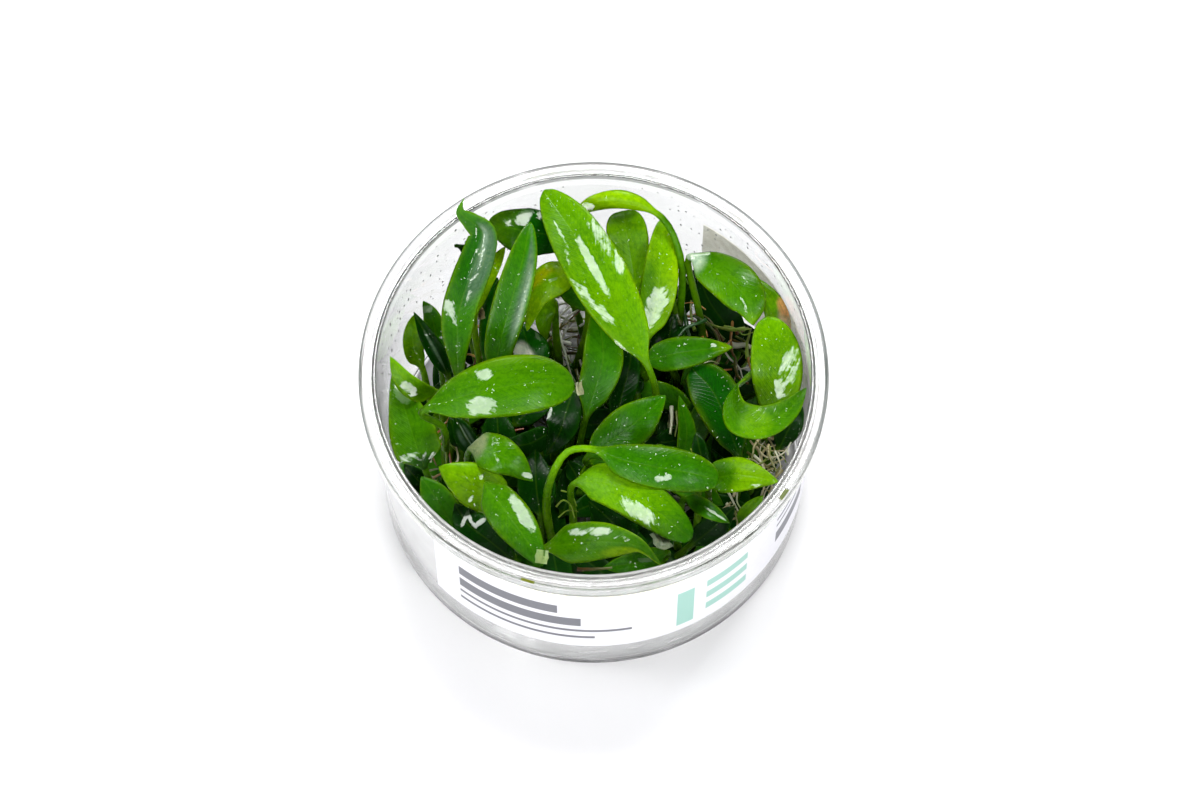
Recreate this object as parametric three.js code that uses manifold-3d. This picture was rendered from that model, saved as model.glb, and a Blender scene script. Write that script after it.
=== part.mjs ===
// Tissue culture anubias congensis in its open clear cup.
// Millimetres, +Z up. The cup stands on z = 0 with its axis on Z, and the label's front faces -Y.
import * as THREE from 'three';
import { mergeVertices } from 'three/addons/utils/BufferGeometryUtils.js';
import Module from 'manifold-3d';

const wasm = await Module();
wasm.setup();

// Cup
const cupHeight = 53;
const rimRadius = 50;
const rimDepth = 3.2;
const mouthRadius = 46.2;
const wallTopRadius = 47;
const wallFootRadius = 46.6;
const innerFootRadius = 45.5;
const floorThickness = 1.6;
const footEdge = 1.6;
const rimSkin = 1.0;
const cupSides = 60;

// Label, a paper strip round the wall
const labelBottom = 12.8;
const labelTop = 42;
const labelThickness = 0.2;
const labelGap = 0.3;
const labelStartDeg = -136;
const labelEndDeg = 59;
const labelSteps = 30;

// The plant is laid out as it is seen from one viewpoint, in front of the cup and high above it.
const viewElevation = THREE.MathUtils.degToRad(66);
const viewDistance = 1000;

// Leaves
const bladeThickness = 0.55;
const leafStations = [7, 3];
const sproutStations = [4, 2];
const stalkRadius = 0.75;
const stalkTaper = 0.25;
const edgeWave = 0.3;
const opening = 0.22;
const footHeight = 8.9;

// Rhizomes, the short creeping stems that the stalks grow from
const rhizomeHeight = 6;
const rhizomeRadius = 2.2;
const rootRadius = 0.6;

const group = new THREE.Group();

function add(name, geometry, color, roughness, opacity = 1) {
  const material = new THREE.MeshStandardMaterial({ color, roughness, metalness: 0 });
  if (opacity < 1) {
    material.transparent = true;
    material.opacity = opacity;
  }
  const mesh = new THREE.Mesh(geometry, material);
  mesh.name = name;
  group.add(mesh);
}

// A point given as [right, up, height]: where it is seen from the viewpoint, in mm at the middle of the
// mouth, and its height above the foot. Height changes how near it is, never where it is seen.
function seenAt([right, up, height]) {
  const sin = Math.sin(viewElevation);
  const cos = Math.cos(viewElevation);
  const eye = new THREE.Vector3(0, -cos * viewDistance, cupHeight + sin * viewDistance);
  const onPlane = new THREE.Vector3(right, up * sin, cupHeight + up * cos);
  const t = (eye.z - height) / (eye.z - onPlane.z);
  return eye.lerp(onPlane, t);
}

// Closed solid from rings of points, each ring in the same order, with an end point at each side.
function solidFromRings(rings, start, end) {
  const count = rings[0].length;
  const points = [...rings.flat(), start, end];
  const startIndex = rings.length * count;
  const endIndex = startIndex + 1;
  const index = [];
  for (let i = 0; i < count; i++) {
    const j = (i + 1) % count;
    index.push(startIndex, j, i);
    for (let r = 0; r < rings.length - 1; r++) {
      const a = r * count + i;
      const b = r * count + j;
      index.push(a, b, a + count);
      index.push(b, b + count, a + count);
    }
    const last = (rings.length - 1) * count;
    index.push(last + i, last + j, endIndex);
  }
  const geometry = new THREE.BufferGeometry();
  const position = new Float32Array(points.flatMap((p) => [p.x, p.y, p.z]));
  geometry.setAttribute('position', new THREE.BufferAttribute(position, 3));
  geometry.setIndex(index);
  geometry.computeVertexNormals();
  return geometry;
}

function smoothstep(a, b, x) {
  const t = Math.min(Math.max((x - a) / (b - a), 0), 1);
  return t * t * (3 - 2 * t);
}

// One leaf: a round stalk that opens into a lance-shaped blade.
// foot: where the stalk leaves its rhizome, x and y. path: spine points from there to the tip, as
// [right, up, height]. stalk: which point of the spine the blade starts at, the foot being the first.
// half: half the blade's greatest width. belly: where along the blade that is, 0 to 1.
// root, blunt: smaller values give a rounder base and tip. roll, twist: degrees the blade turns about its
// spine, at its middle and from end to end. cup: how far the edges rise towards the viewer, as a share of
// the half width.
function leafRings(leaf, footZ, bladeStations, stalkStations) {
  const { foot, path, stalk = 3, half, belly = 0.45, root = 0.8, blunt = 0.8 } = leaf;
  const { roll = 0, twist = 0, cup = 0.15 } = leaf;
  const spine = [new THREE.Vector3(...foot, footZ), ...path.map(seenAt)];
  const curve = new THREE.CatmullRomCurve3(spine, false, 'centripetal');
  const bladeStart = (stalk - 1) / (spine.length - 1);
  const parameters = [];
  for (let i = 0; i < stalkStations; i++) {
    parameters.push((bladeStart * i) / stalkStations);
  }
  for (let i = 0; i < bladeStations; i++) {
    parameters.push(bladeStart + ((1 - bladeStart) * i) / bladeStations);
  }
  // The side direction is square to the spine and to the line of sight at the blade's middle, and is
  // carried along the spine from there without turning about it.
  const middle = bladeStart + (1 - bladeStart) * 0.5;
  const steps = 48;
  const tangentAt = (u) => curve.getTangent(Math.min(Math.max(u, 0.001), 0.999));
  const sight = new THREE.Vector3(0, Math.cos(viewElevation), -Math.sin(viewElevation));
  const sideAtMiddle = sight.clone().cross(tangentAt(middle)).normalize();
  function sideAt(u) {
    const side = sideAtMiddle.clone();
    for (let i = 1; i <= steps; i++) {
      const tangent = tangentAt(middle + ((u - middle) * i) / steps);
      side.addScaledVector(tangent, -side.dot(tangent)).normalize();
    }
    return side;
  }
  const rings = parameters.map((u) => {
    const t = Math.max((u - bladeStart) / (1 - bladeStart), 0);
    const center = curve.getPoint(u);
    const tangent = tangentAt(u);
    const turn = THREE.MathUtils.degToRad(roll + twist * (t - 0.5));
    const side = sideAt(u).applyAxisAngle(tangent, turn);
    const normal = side.clone().cross(tangent).normalize();
    const bulge = Math.sin(Math.PI * Math.pow(t, Math.log(0.5) / Math.log(belly)));
    const width = Math.max(half * Math.pow(Math.max(bulge, 0), t < belly ? root : blunt), 0.001);
    const open = smoothstep(0, opening, t);
    const radius = stalkRadius * (1 - stalkTaper * t);
    const lift = edgeWave * Math.sin(9 * t + half);
    return [-1, -0.45, 0.45, 1, 0.45, -0.45].map((s, i) => {
      const upper = i < 3 ? 1 : -1;
      const edge = Math.abs(s) === 1;
      const angle = Math.PI - (i * Math.PI) / 3;
      const roundSide = Math.cos(angle) * radius;
      const roundUp = Math.sin(angle) * radius;
      const flatUp = (edge ? 0 : upper * bladeThickness * 0.5) + cup * width * s * s + lift * s * s * s;
      const across = Math.max(width, radius) * s * open + roundSide * (1 - open);
      const up = flatUp * open + roundUp * (1 - open);
      return center.clone().addScaledVector(side, across).addScaledVector(normal, up);
    });
  });
  return { rings, start: curve.getPoint(0), end: curve.getPoint(1) };
}

function leafGeometry(leaf, footZ, stations) {
  const { rings, start, end } = leafRings(leaf, footZ, ...stations);
  return solidFromRings(rings, start, end);
}

// Rhizome: a short creeping stem with thick roots running out from it over the floor of the cup.
function tubeGeometry(points, radius, sides, steps, taper) {
  const curve = new THREE.CatmullRomCurve3(points, false, 'centripetal');
  const frames = curve.computeFrenetFrames(steps, false);
  const rings = [];
  for (let i = 0; i <= steps; i++) {
    const center = curve.getPoint(i / steps);
    const size = radius * (1 - taper * (i / steps)) * (i === 0 || i === steps ? 0.6 : 1);
    const ring = [];
    for (let k = 0; k < sides; k++) {
      const angle = (2 * Math.PI * k) / sides;
      const offset = frames.normals[i].clone().multiplyScalar(Math.cos(angle) * size);
      offset.addScaledVector(frames.binormals[i], Math.sin(angle) * size);
      ring.push(center.clone().add(offset));
    }
    rings.push(ring);
  }
  return solidFromRings(rings, curve.getPoint(0), curve.getPoint(1));
}

function toManifold(geometry) {
  const merged = mergeVertices(geometry, 1e-4);
  const mesh = new wasm.Mesh({
    numProp: 3,
    vertProperties: merged.attributes.position.array,
    triVerts: new Uint32Array(merged.index.array),
  });
  return new wasm.Manifold(mesh);
}

function fromManifold(solid) {
  const mesh = solid.getMesh();
  const geometry = new THREE.BufferGeometry();
  geometry.setAttribute('position', new THREE.BufferAttribute(new Float32Array(mesh.vertProperties), 3));
  geometry.setIndex([...mesh.triVerts]);
  geometry.computeVertexNormals();
  return geometry;
}

// Cup: lathe profile, outside from the foot up, over the rim, and down the inside
const cupProfile = [
  [0, 0],
  [wallFootRadius - footEdge, 0],
  [wallFootRadius - footEdge * 0.3, footEdge * 0.3],
  [wallFootRadius, footEdge],
  [wallTopRadius, cupHeight - rimSkin],
  [rimRadius - rimSkin, cupHeight - rimSkin],
  [rimRadius - rimSkin * 0.8, cupHeight - rimDepth],
  [rimRadius, cupHeight - rimDepth],
  [rimRadius, cupHeight - 0.3],
  [rimRadius - 0.3, cupHeight],
  [mouthRadius + 0.2, cupHeight],
  [mouthRadius, cupHeight - 0.2],
  [innerFootRadius, floorThickness + footEdge],
  [innerFootRadius - footEdge, floorThickness],
  [0, floorThickness],
];
const cup = new THREE.LatheGeometry(cupProfile.map(([r, z]) => new THREE.Vector2(r, z)), cupSides);
cup.rotateX(Math.PI / 2);
add('cup', cup, '#e9eeee', 0.1, 0.25);

// Label: a thin curved strip standing just off the wall
function wallRadiusAt(z) {
  const t = (z - footEdge) / (cupHeight - rimSkin - footEdge);
  return wallFootRadius + (wallTopRadius - wallFootRadius) * t;
}
const labelRings = [];
for (let i = 0; i <= labelSteps; i++) {
  const angle = THREE.MathUtils.degToRad(labelStartDeg + ((labelEndDeg - labelStartDeg) * i) / labelSteps);
  const corner = (z, out) => {
    const r = (wallRadiusAt(z) + labelGap + out) / Math.cos(Math.PI / cupSides);
    return new THREE.Vector3(r * Math.cos(angle), r * Math.sin(angle), z);
  };
  labelRings.push([
    corner(labelBottom, 0),
    corner(labelTop, 0),
    corner(labelTop, labelThickness),
    corner(labelBottom, labelThickness),
  ]);
}
function ringMiddle(ring) {
  const sum = new THREE.Vector3();
  ring.forEach((p) => sum.add(p));
  return sum.divideScalar(ring.length);
}
const labelStrip = solidFromRings(labelRings, ringMiddle(labelRings[0]), ringMiddle(labelRings.at(-1)));
add('label', labelStrip, '#f6f6f8', 0.6);

// Leaves, each with its stalk. foot: where the stalk leaves its rhizome, x and y.
const bright = '#6cab0c';
const medium = '#3f8f0e';
const dark = '#145a0c';
const yellow = '#97c213';
const olive = '#6f9416';
const leaves = {
  leaf_centre_long: {
    foot: [12.4, 1],
    path: [
      [13.3, -5, 30], [12, 0, 38], [7.8, 8.5, 43], [1.9, 19, 47.5], [-4.6, 30, 51], [-10.6, 38.5, 51.5],
    ],
    stalk: 3, half: 6.3, belly: 0.54, blunt: 0.52, cup: 0.12, color: bright,
  },
  leaf_back_arched: {
    foot: [16.5, 16],
    path: [
      [18.3, 12, 27], [18.4, 24.5, 42], [14.6, 32.6, 47.5], [7, 35.9, 50], [0.5, 35.4, 48.5],
      [-4.5, 33.3, 45],
    ],
    stalk: 4, half: 2.4, belly: 0.5, roll: -30, cup: -0.5, color: yellow,
  },
  leaf_back_olive: {
    foot: [6, 20],
    path: [[8, 8, 24], [9, 15, 33], [8, 24, 39], [7, 30, 43], [6.4, 34.2, 44]],
    stalk: 3, half: 4.5, belly: 0.6, root: 0.5, blunt: 0.3, cup: 0.1, color: olive,
  },
  leaf_back_bright: {
    foot: [10, 19],
    path: [[11, 2, 24], [11.2, 6, 30], [13.2, 14, 36], [14.4, 23, 41], [14.3, 32.4, 44]],
    stalk: 3, half: 4, belly: 0.5, root: 0.6, blunt: 0.65, cup: 0.15, color: bright,
  },
  leaf_back_dark: {
    foot: [2.5, 20.5],
    path: [[1.5, 13, 26], [-3, 25.5, 36], [-9, 28.8, 42.5], [-15.5, 30, 45.5], [-22.2, 32, 44.5]],
    stalk: 3, half: 5.2, belly: 0.55, root: 0.8, blunt: 0.5, cup: -0.2, color: dark,
  },
  leaf_back_narrow: {
    foot: [21, 13.4],
    path: [[19.3, 6, 22], [17, 14, 31], [16.2, 21, 36], [16.2, 28, 39]],
    stalk: 3, half: 1.3, cup: 0.2, color: dark,
  },
  leaf_curled_tip: {
    foot: [-26, 6.2],
    path: [
      [-26.8, -12, 20], [-28, -5, 29.5], [-29, 4, 37], [-28.5, 13, 42], [-26.6, 19, 45.5],
      [-24.4, 25, 48.5], [-23.6, 29.6, 51], [-26, 32, 53.2], [-28.3, 34, 55.2], [-27.6, 36.8, 57.4],
    ],
    stalk: 3, half: 3.9, belly: 0.38, root: 0.45, blunt: 1.1, cup: 0.1, color: medium,
  },
  leaf_left_behind: {
    foot: [-24.5, 7.3],
    path: [[-24, -6, 18], [-23, 1, 22], [-22.2, 8, 26], [-21.6, 14, 27.5], [-20.4, 20, 28.5]],
    stalk: 3, half: 2.4, belly: 0.5, root: 0.5, blunt: 0.6, cup: -0.1, color: medium,
  },
  leaf_left_dark_upright: {
    foot: [-19.5, 11.4],
    path: [
      [-20.5, -8, 18], [-20.8, -3, 27], [-20, 5.5, 36.5], [-17.6, 14.5, 43], [-15, 24, 48],
      [-13.4, 31.8, 50],
    ],
    stalk: 3, half: 3.9, belly: 0.5, root: 0.5, blunt: 0.6, cup: 0.1, color: medium,
  },
  leaf_left_thin_yellow: {
    foot: [-22, 9.4],
    path: [[-24.5, 4, 22], [-25.3, 11, 28], [-24, 17, 33], [-21, 23, 37], [-18.7, 26.6, 38]],
    stalk: 3, half: 1.9, cup: 0.2, color: yellow,
  },
  leaf_hooked_yellow: {
    foot: [-4, 20.3],
    path: [[-1, 12, 26], [-3, 20, 36], [-8, 20, 39.5], [-12, 16.5, 37], [-14.2, 8.6, 31]],
    stalk: 3, half: 3.9, belly: 0.4, roll: 8, cup: -0.12, color: yellow,
  },
  leaf_centre_grey: {
    foot: [-7.5, 19.6],
    path: [[-8, 8, 20], [-8.6, 15, 29], [-10.4, 12, 28.5], [-10.4, 6, 23]],
    stalk: 3, half: 2.1, cup: -0.2, color: olive,
  },
  leaf_centre_wet: {
    foot: [-14, 15],
    path: [[-12.5, -3, 18], [-11, 0, 22], [-13.5, 5, 26], [-15.5, 10.4, 27]],
    stalk: 3, half: 4, cup: -0.1, color: dark,
  },
  leaf_centre_upright: {
    foot: [-4, -4.2],
    path: [[-3, -16, 18], [-1.8, -10.5, 27], [0.2, -4, 33], [2, 2.5, 37], [1.6, 8, 39], [0, 13.5, 39.5]],
    stalk: 3, half: 4.4, belly: 0.5, root: 0.6, cup: 0.1, color: bright,
  },
  leaf_wall_olive: {
    foot: [-32.2, 0],
    path: [[-35, -5, 18], [-36.3, 0.5, 25], [-38, 4, 29.5], [-38.5, 8, 33], [-37.9, 12.2, 35]],
    stalk: 3, half: 2.2, root: 0.6, blunt: 0.6, cup: 0.2, color: olive,
  },
  leaf_left_folded: {
    foot: [-32.3, -2.2],
    path: [[-31, -8, 18], [-30.8, -1.5, 26], [-33, 3.3, 31], [-35.6, 8, 35], [-38.2, 12.6, 40]],
    stalk: 3, half: 2, cup: 0.5, color: dark,
  },
  leaf_left_glossy_tip: {
    foot: [-28, 4.4],
    path: [[-31.5, -4, 18], [-32.4, 2, 25], [-33.5, 8, 30], [-34.5, 12, 33], [-36.2, 15, 34.5]],
    stalk: 3, half: 2.2, cup: 0.1, color: medium,
  },
  leaf_left_small_yellow: {
    foot: [-32.4, -4.6],
    path: [[-32, -10, 20], [-33, -4.6, 33], [-37, -4.2, 40], [-40.6, -1.4, 44.5], [-43.2, 3.2, 47.5]],
    stalk: 3, half: 2.5, roll: -10, cup: 0.2, color: yellow,
  },
  leaf_wall_broad: {
    foot: [-33, -13],
    path: [
      [-34, -25, 22], [-35.8, -20.6, 31.5], [-37.8, -15, 35.3], [-40, -8, 37.3], [-42.8, -0.3, 39.3],
    ],
    stalk: 3, half: 5.2, belly: 0.34, root: 0.4, cup: 0.12, color: medium,
  },
  leaf_left_horizontal: {
    foot: [-32.7, -7.2],
    path: [
      [-31.5, -18, 22], [-32.2, -11.5, 38], [-36.6, -8.8, 43.5], [-30, -6, 46], [-20, -3.4, 48],
      [-11, -2.4, 47], [-4, -3, 43],
    ],
    stalk: 4, half: 6.5, belly: 0.56, root: 0.8, blunt: 0.42, cup: -0.12, color: bright,
  },
  leaf_left_striped: {
    foot: [-29.5, -18.5],
    path: [[-26.5, -26, 18], [-25, -18, 26], [-27.5, -13.5, 30], [-29.5, -9.5, 32]],
    stalk: 3, half: 2.3, cup: 0.5, color: dark,
  },
  leaf_front_left_hooked: {
    foot: [-25.5, -22.8],
    path: [
      [-26, -27, 22], [-26.2, -16.6, 38], [-22.5, -16.8, 42], [-17.8, -19, 42.6], [-12.8, -23.2, 38],
    ],
    stalk: 3, half: 4.2, belly: 0.45, root: 0.3, cup: -0.15, color: bright,
  },
  leaf_front_left_yellow: {
    foot: [-20.5, -23.8],
    path: [
      [-19.5, -33.5, 20], [-18.6, -28.6, 31], [-22, -26, 35.5], [-27, -23.2, 38.5], [-33, -20.2, 39.5],
    ],
    stalk: 3, half: 4.9, belly: 0.5, root: 0.35, cup: -0.1, color: yellow,
  },
  leaf_front_long: {
    foot: [-17, -25.2],
    path: [
      [-14.6, -33, 24], [-15.6, -29, 37], [-19.5, -25, 42.8], [-22.6, -24, 44.5], [-19.8, -28.2, 46.8],
      [-15.2, -34.2, 47.5], [-10.8, -41.3, 45],
    ],
    stalk: 5, half: 4.35, belly: 0.48, root: 0.45, blunt: 0.65, cup: -0.1, color: bright,
  },
  leaf_front_twisted: {
    foot: [-10.5, -26.2],
    path: [
      [-11.5, -38.5, 26], [-10.6, -37.5, 36], [-4, -36.4, 40], [3.5, -36, 42.5], [9.5, -37, 43.5],
      [14.2, -40.9, 42],
    ],
    stalk: 3, half: 4.3, belly: 0.28, root: 0.5, twist: 70, roll: 15, cup: -0.1, color: bright,
  },
  leaf_front_arched: {
    foot: [-7.5, -26.8],
    path: [
      [-10, -30, 26], [-9, -22.5, 37.5], [-5.5, -17, 43], [-0.5, -16.4, 45], [6.5, -18.9, 46.5],
      [13.5, -20.3, 47], [20.5, -21.5, 46], [26.6, -23, 43],
    ],
    stalk: 5, half: 4.7, belly: 0.55, root: 0.45, blunt: 0.35, cup: -0.15, color: bright,
  },
  leaf_front_broad: {
    foot: [-3.5, -27.5],
    path: [[-4.4, -30, 26], [-4.2, -23.9, 37], [3, -23.8, 41.5], [12, -28.6, 43], [20.8, -35.6, 40]],
    stalk: 3, half: 4.9, belly: 0.52, root: 0.35, blunt: 0.42, cup: -0.12, color: bright,
  },
  leaf_centre_broad: {
    foot: [1, -2.4],
    path: [[-0.5, -20, 22], [-1.5, -18.5, 30], [4, -14.5, 35.5], [9.8, -10, 39.5], [15.2, -5, 40]],
    stalk: 3, half: 4.8, belly: 0.5, root: 0.6, cup: -0.1, color: medium,
  },
  leaf_centre_dark_left: {
    foot: [-7, -5.4],
    path: [[-4.5, -12, 19], [-4.2, -4, 27.4], [-5.8, -8.5, 30.6], [-7.2, -13, 31], [-10, -17.6, 28]],
    stalk: 3, half: 3.7, cup: -0.1, color: dark,
  },
  leaf_centre_dark_low: {
    foot: [-13, -25.7],
    path: [[-11, -36, 18], [-11.3, -31, 24], [-12.2, -24, 28], [-12.4, -16.5, 29]],
    stalk: 3, half: 4.2, cup: 0.1, color: dark,
  },
  leaf_right_pointed: {
    foot: [13.2, 17.4],
    path: [[11, -1, 22], [10.4, 1.6, 29], [16, 3.5, 34], [23, 4.6, 36], [29.6, 5.2, 35.5]],
    stalk: 3, half: 3.6, belly: 0.4, cup: -0.1, color: medium,
  },
  leaf_right_dark_round: {
    foot: [19.5, 14.3],
    path: [[17, 0, 20], [15.6, 2, 25], [16, 7, 29], [17, 12.2, 30]],
    stalk: 3, half: 4, blunt: 0.55, cup: -0.1, color: dark,
  },
  leaf_right_middle: {
    foot: [29.5, -13],
    path: [[30.5, -26, 18], [31, -19.5, 25], [28.6, -11.5, 30], [25.2, -4, 32], [20.8, 0.8, 32.5]],
    stalk: 3, half: 5.2, belly: 0.6, root: 0.5, blunt: 0.5, cup: 0.1, color: medium,
  },
  leaf_right_middle_low: {
    foot: [30.8, -10.5],
    path: [[33.4, -25, 16], [33.8, -20, 20], [31.6, -14, 23], [30, -7, 24]],
    stalk: 3, half: 3, cup: 0.2, color: medium,
  },
  leaf_right_ring: {
    foot: [34, -0.5],
    path: [
      [36, -5, 26], [35.8, 0.5, 34], [33.2, -0.8, 38.5], [29.8, -4.5, 41.5], [31, -9.6, 44.5],
      [36, -10.8, 46.5], [41.4, -8.2, 48.5], [45.2, -3.4, 50],
    ],
    stalk: 4, half: 3.7, belly: 0.5, cup: 0.2, color: bright,
  },
  leaf_wall_right_broad: {
    foot: [33.4, -3],
    path: [[36.6, -14, 24], [38, -11, 32], [38.9, -4, 38.5], [38.6, 4, 43], [36.6, 11.6, 46]],
    stalk: 3, half: 5.6, belly: 0.55, root: 0.55, blunt: 0.45, cup: 0.12, color: medium,
  },
  leaf_wall_orange: {
    foot: [34, 2],
    path: [[38.5, -4, 22], [40, 3.5, 35], [39.6, 9.3, 41], [37.9, 14.6, 44], [34.6, 19.8, 45]],
    stalk: 3, half: 2.6, blunt: 0.6, cup: 0.1, color: olive,
  },
  leaf_back_right_bright: {
    foot: [24, 11.6],
    path: [
      [23, 9, 24], [20.3, 24.3, 42.5], [24.5, 22.4, 46], [30, 18.7, 48], [33.2, 14.2, 47], [34, 9.8, 44],
    ],
    stalk: 3, half: 4.9, belly: 0.5, root: 0.6, cup: -0.15, color: bright,
  },
  leaf_front_right_tip: {
    foot: [21, -22.8],
    path: [[22, -32, 24], [23, -24, 37], [28.5, -22, 41], [33.5, -22.1, 44.5], [39.3, -23.4, 47]],
    stalk: 3, half: 3.8, belly: 0.4, root: 0.4, cup: -0.1, color: yellow,
  },
  leaf_front_right_narrow: {
    foot: [18.5, -24.5],
    path: [[18, -33, 24], [19.5, -27, 34], [24, -29.2, 37], [29, -32.2, 36.5]],
    stalk: 3, half: 1.9, cup: 0.4, color: medium,
  },
  leaf_low_left_wall: {
    foot: [-28, -21],
    path: [[-28.5, -37, 18], [-31, -31, 26], [-34, -26, 30], [-36.6, -22.3, 31.5]],
    stalk: 2, half: 3.6, cup: 0.1, color: medium,
  },
  leaf_low_left_front: {
    foot: [-15.5, -25.2],
    path: [[-16, -41, 22], [-22, -36, 30], [-26.6, -32.4, 32], [-29.5, -28, 31.5]],
    stalk: 2, half: 3.9, cup: 0.1, color: dark,
  },
  leaf_low_left_back: {
    foot: [-33.2, -10],
    path: [[-34.5, -25, 18], [-37.3, -23, 26], [-40.3, -19.6, 29]],
    stalk: 2, half: 2.4, cup: 0.1, color: dark,
  },
  leaf_low_right_wall: {
    foot: [32.8, -6],
    path: [[38.8, -17, 26], [41, -13, 31], [42.6, -9.5, 34], [43.8, -5.5, 36]],
    stalk: 2, half: 2.7, cup: 0.1, color: dark,
  },
  leaf_low_front_middle: {
    foot: [1, -28],
    path: [[8, -37.5, 20], [4.5, -32.5, 26], [-1, -27.5, 29]],
    stalk: 2, half: 4, cup: 0.1, color: dark,
  },
  leaf_low_front: {
    foot: [13, -27.6],
    path: [[15.5, -38.5, 24], [9, -40.6, 29], [2, -41.6, 30]],
    stalk: 2, half: 2.6, cup: 0.1, color: medium,
  },
  leaf_low_front_right: {
    foot: [16, -26],
    path: [[20.5, -37, 20], [25.5, -33, 25], [30, -28.5, 28]],
    stalk: 2, half: 3, cup: 0.1, color: dark,
  },
  leaf_low_right_yellow: {
    foot: [27, -17.2],
    path: [[30.5, -33.5, 22], [33, -29.8, 28], [36, -26.2, 31]],
    stalk: 2, half: 2, cup: 0.1, color: olive,
  },
  leaf_low_centre: {
    foot: [5, -1.2],
    path: [[4.6, -12, 20], [6, -5, 26], [7.6, 1, 30], [8.2, 6.5, 31]],
    stalk: 2, half: 2.9, cup: 0.1, color: dark,
  },
  leaf_low_centre_right: {
    foot: [13.8, 0.6],
    path: [[18, -20, 20], [19.8, -13, 26], [18.2, -5, 29]],
    stalk: 2, half: 2, cup: 0.1, color: medium,
  },
  leaf_low_back_right: {
    foot: [28.5, 8.4],
    path: [[30, 3, 16], [28.5, 9, 22], [24.5, 15, 25], [22.5, 20, 27]],
    stalk: 2, half: 4.1, cup: 0.1, color: dark,
  },
  leaf_low_left_middle: {
    foot: [-10, -7.5],
    path: [[-8.5, -13, 21], [-14, -15.4, 25], [-20.5, -16, 27]],
    stalk: 2, half: 2.8, cup: 0.1, color: dark,
  },
};
for (const [name, leaf] of Object.entries(leaves)) {
  add(name, leafGeometry(leaf, footHeight, leafStations), leaf.color, 0.25);
}

// Rhizomes: centre line over the floor of the cup, x and y, thick roots that run out from it, and small
// leaves low down that are one with it
const rhizomes = {
  rhizome_back_left: {
    line: [[-27.6, 5], [-20, 11], [-12, 16]],
    roots: [[[-20, 11, 5], [-27, 18, 3.4], [-25, 27, 2.9]]],
    sprouts: [
      {
        foot: [-22.6, 9],
        path: [[-26.5, 10, 22], [-27.6, 19, 32], [-27.2, 26, 41], [-29.6, 26.8, 45]],
        half: 1.2,
      },
    ],
  },
  rhizome_back: {
    line: [[-8.5, 19], [3, 20.5], [17, 15.8], [30, 7.5]],
    roots: [
      [[-6, 19.5, 5], [-11, 25, 3.6], [-10, 32, 2.9], [-3, 35.5, 2.9]],
      [[3, 20.5, 5], [4, 28, 3.6], [-3, 30.5, 3.4]],
      [[17, 15.8, 5], [21, 24, 3.2], [25, 30, 2.9]],
    ],
    sprouts: [],
  },
  rhizome_left: {
    line: [[-33.4, -15], [-32.3, -5], [-32, 1]],
    roots: [[[-32.3, -5, 5], [-38, -3, 3.4], [-40.5, 4, 2.9]]],
    sprouts: [
      {
        foot: [-32.8, -11],
        path: [[-29, -24, 16], [-28.3, -17, 23], [-29.5, -13, 26.5], [-30.6, -9.5, 28]],
        half: 1.7,
      },
      {
        foot: [-33.2, -14.4],
        path: [[-28.5, -30, 18], [-29, -26, 23], [-32, -22, 25.5]],
        half: 2.2,
      },
    ],
  },
  rhizome_front_left: {
    line: [[-30, -19.5], [-18, -25], [-6, -27], [3, -28.2]],
    roots: [
      [[-18, -25, 5], [-24, -31, 3.2], [-19, -37, 2.9]],
      [[-6, -27, 5], [-4, -34, 3.2], [3, -39, 2.9]],
    ],
    sprouts: [],
  },
  rhizome_centre: {
    line: [[-12, -8], [2, -2.2], [15.5, 1]],
    roots: [[[2, -2.2, 5], [6, -10, 3.2], [2, -17, 2.9]]],
    sprouts: [
      {
        foot: [-11.4, -7.8],
        path: [[-12, -15, 18], [-14.5, -10.5, 21], [-19, -11.3, 23], [-24, -12, 24]],
        half: 2.3,
      },
      {
        foot: [-1, -3.2],
        path: [[-1.5, -24, 16], [-3, -23, 21], [-5.5, -19, 23]],
        half: 2,
      },
      {
        foot: [9, -0.6],
        path: [[8.5, -12, 18], [9.3, -5, 23], [8.6, -0.5, 25]],
        half: 1.8,
      },
    ],
  },
  rhizome_right: {
    line: [[11, -29], [22, -22.2], [30.6, -11], [34.5, 3.5]],
    roots: [
      [[22, -22.2, 5], [28, -28, 3.2], [33, -25, 2.9]],
      [[30.6, -11, 5], [37, -10, 3.4], [40, -3, 2.9]],
    ],
    sprouts: [
      {
        foot: [25, -19.3],
        path: [[24.5, -29, 18], [24, -21.5, 28], [22.5, -16.5, 32], [21.8, -12.8, 33]],
        half: 1.7,
      },
    ],
  },
};
for (const [name, { line, roots, sprouts }] of Object.entries(rhizomes)) {
  const centre = line.map(([x, y]) => new THREE.Vector3(x, y, rhizomeHeight));
  let solid = toManifold(tubeGeometry(centre, rhizomeRadius, 6, 6, 0));
  for (const root of roots) {
    const route = root.map((p) => new THREE.Vector3(...p));
    solid = solid.add(toManifold(tubeGeometry(route, rootRadius, 4, 5, 0.4)));
  }
  for (const sprout of sprouts) {
    solid = solid.add(toManifold(leafGeometry(sprout, rhizomeHeight, sproutStations)));
  }
  add(name, fromManifold(solid), '#6f7a22', 0.5);
}

export default group;
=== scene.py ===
import math
import random
from functools import reduce

import bpy
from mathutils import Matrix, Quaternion, Vector
from mathutils.bvhtree import BVHTree


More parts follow.
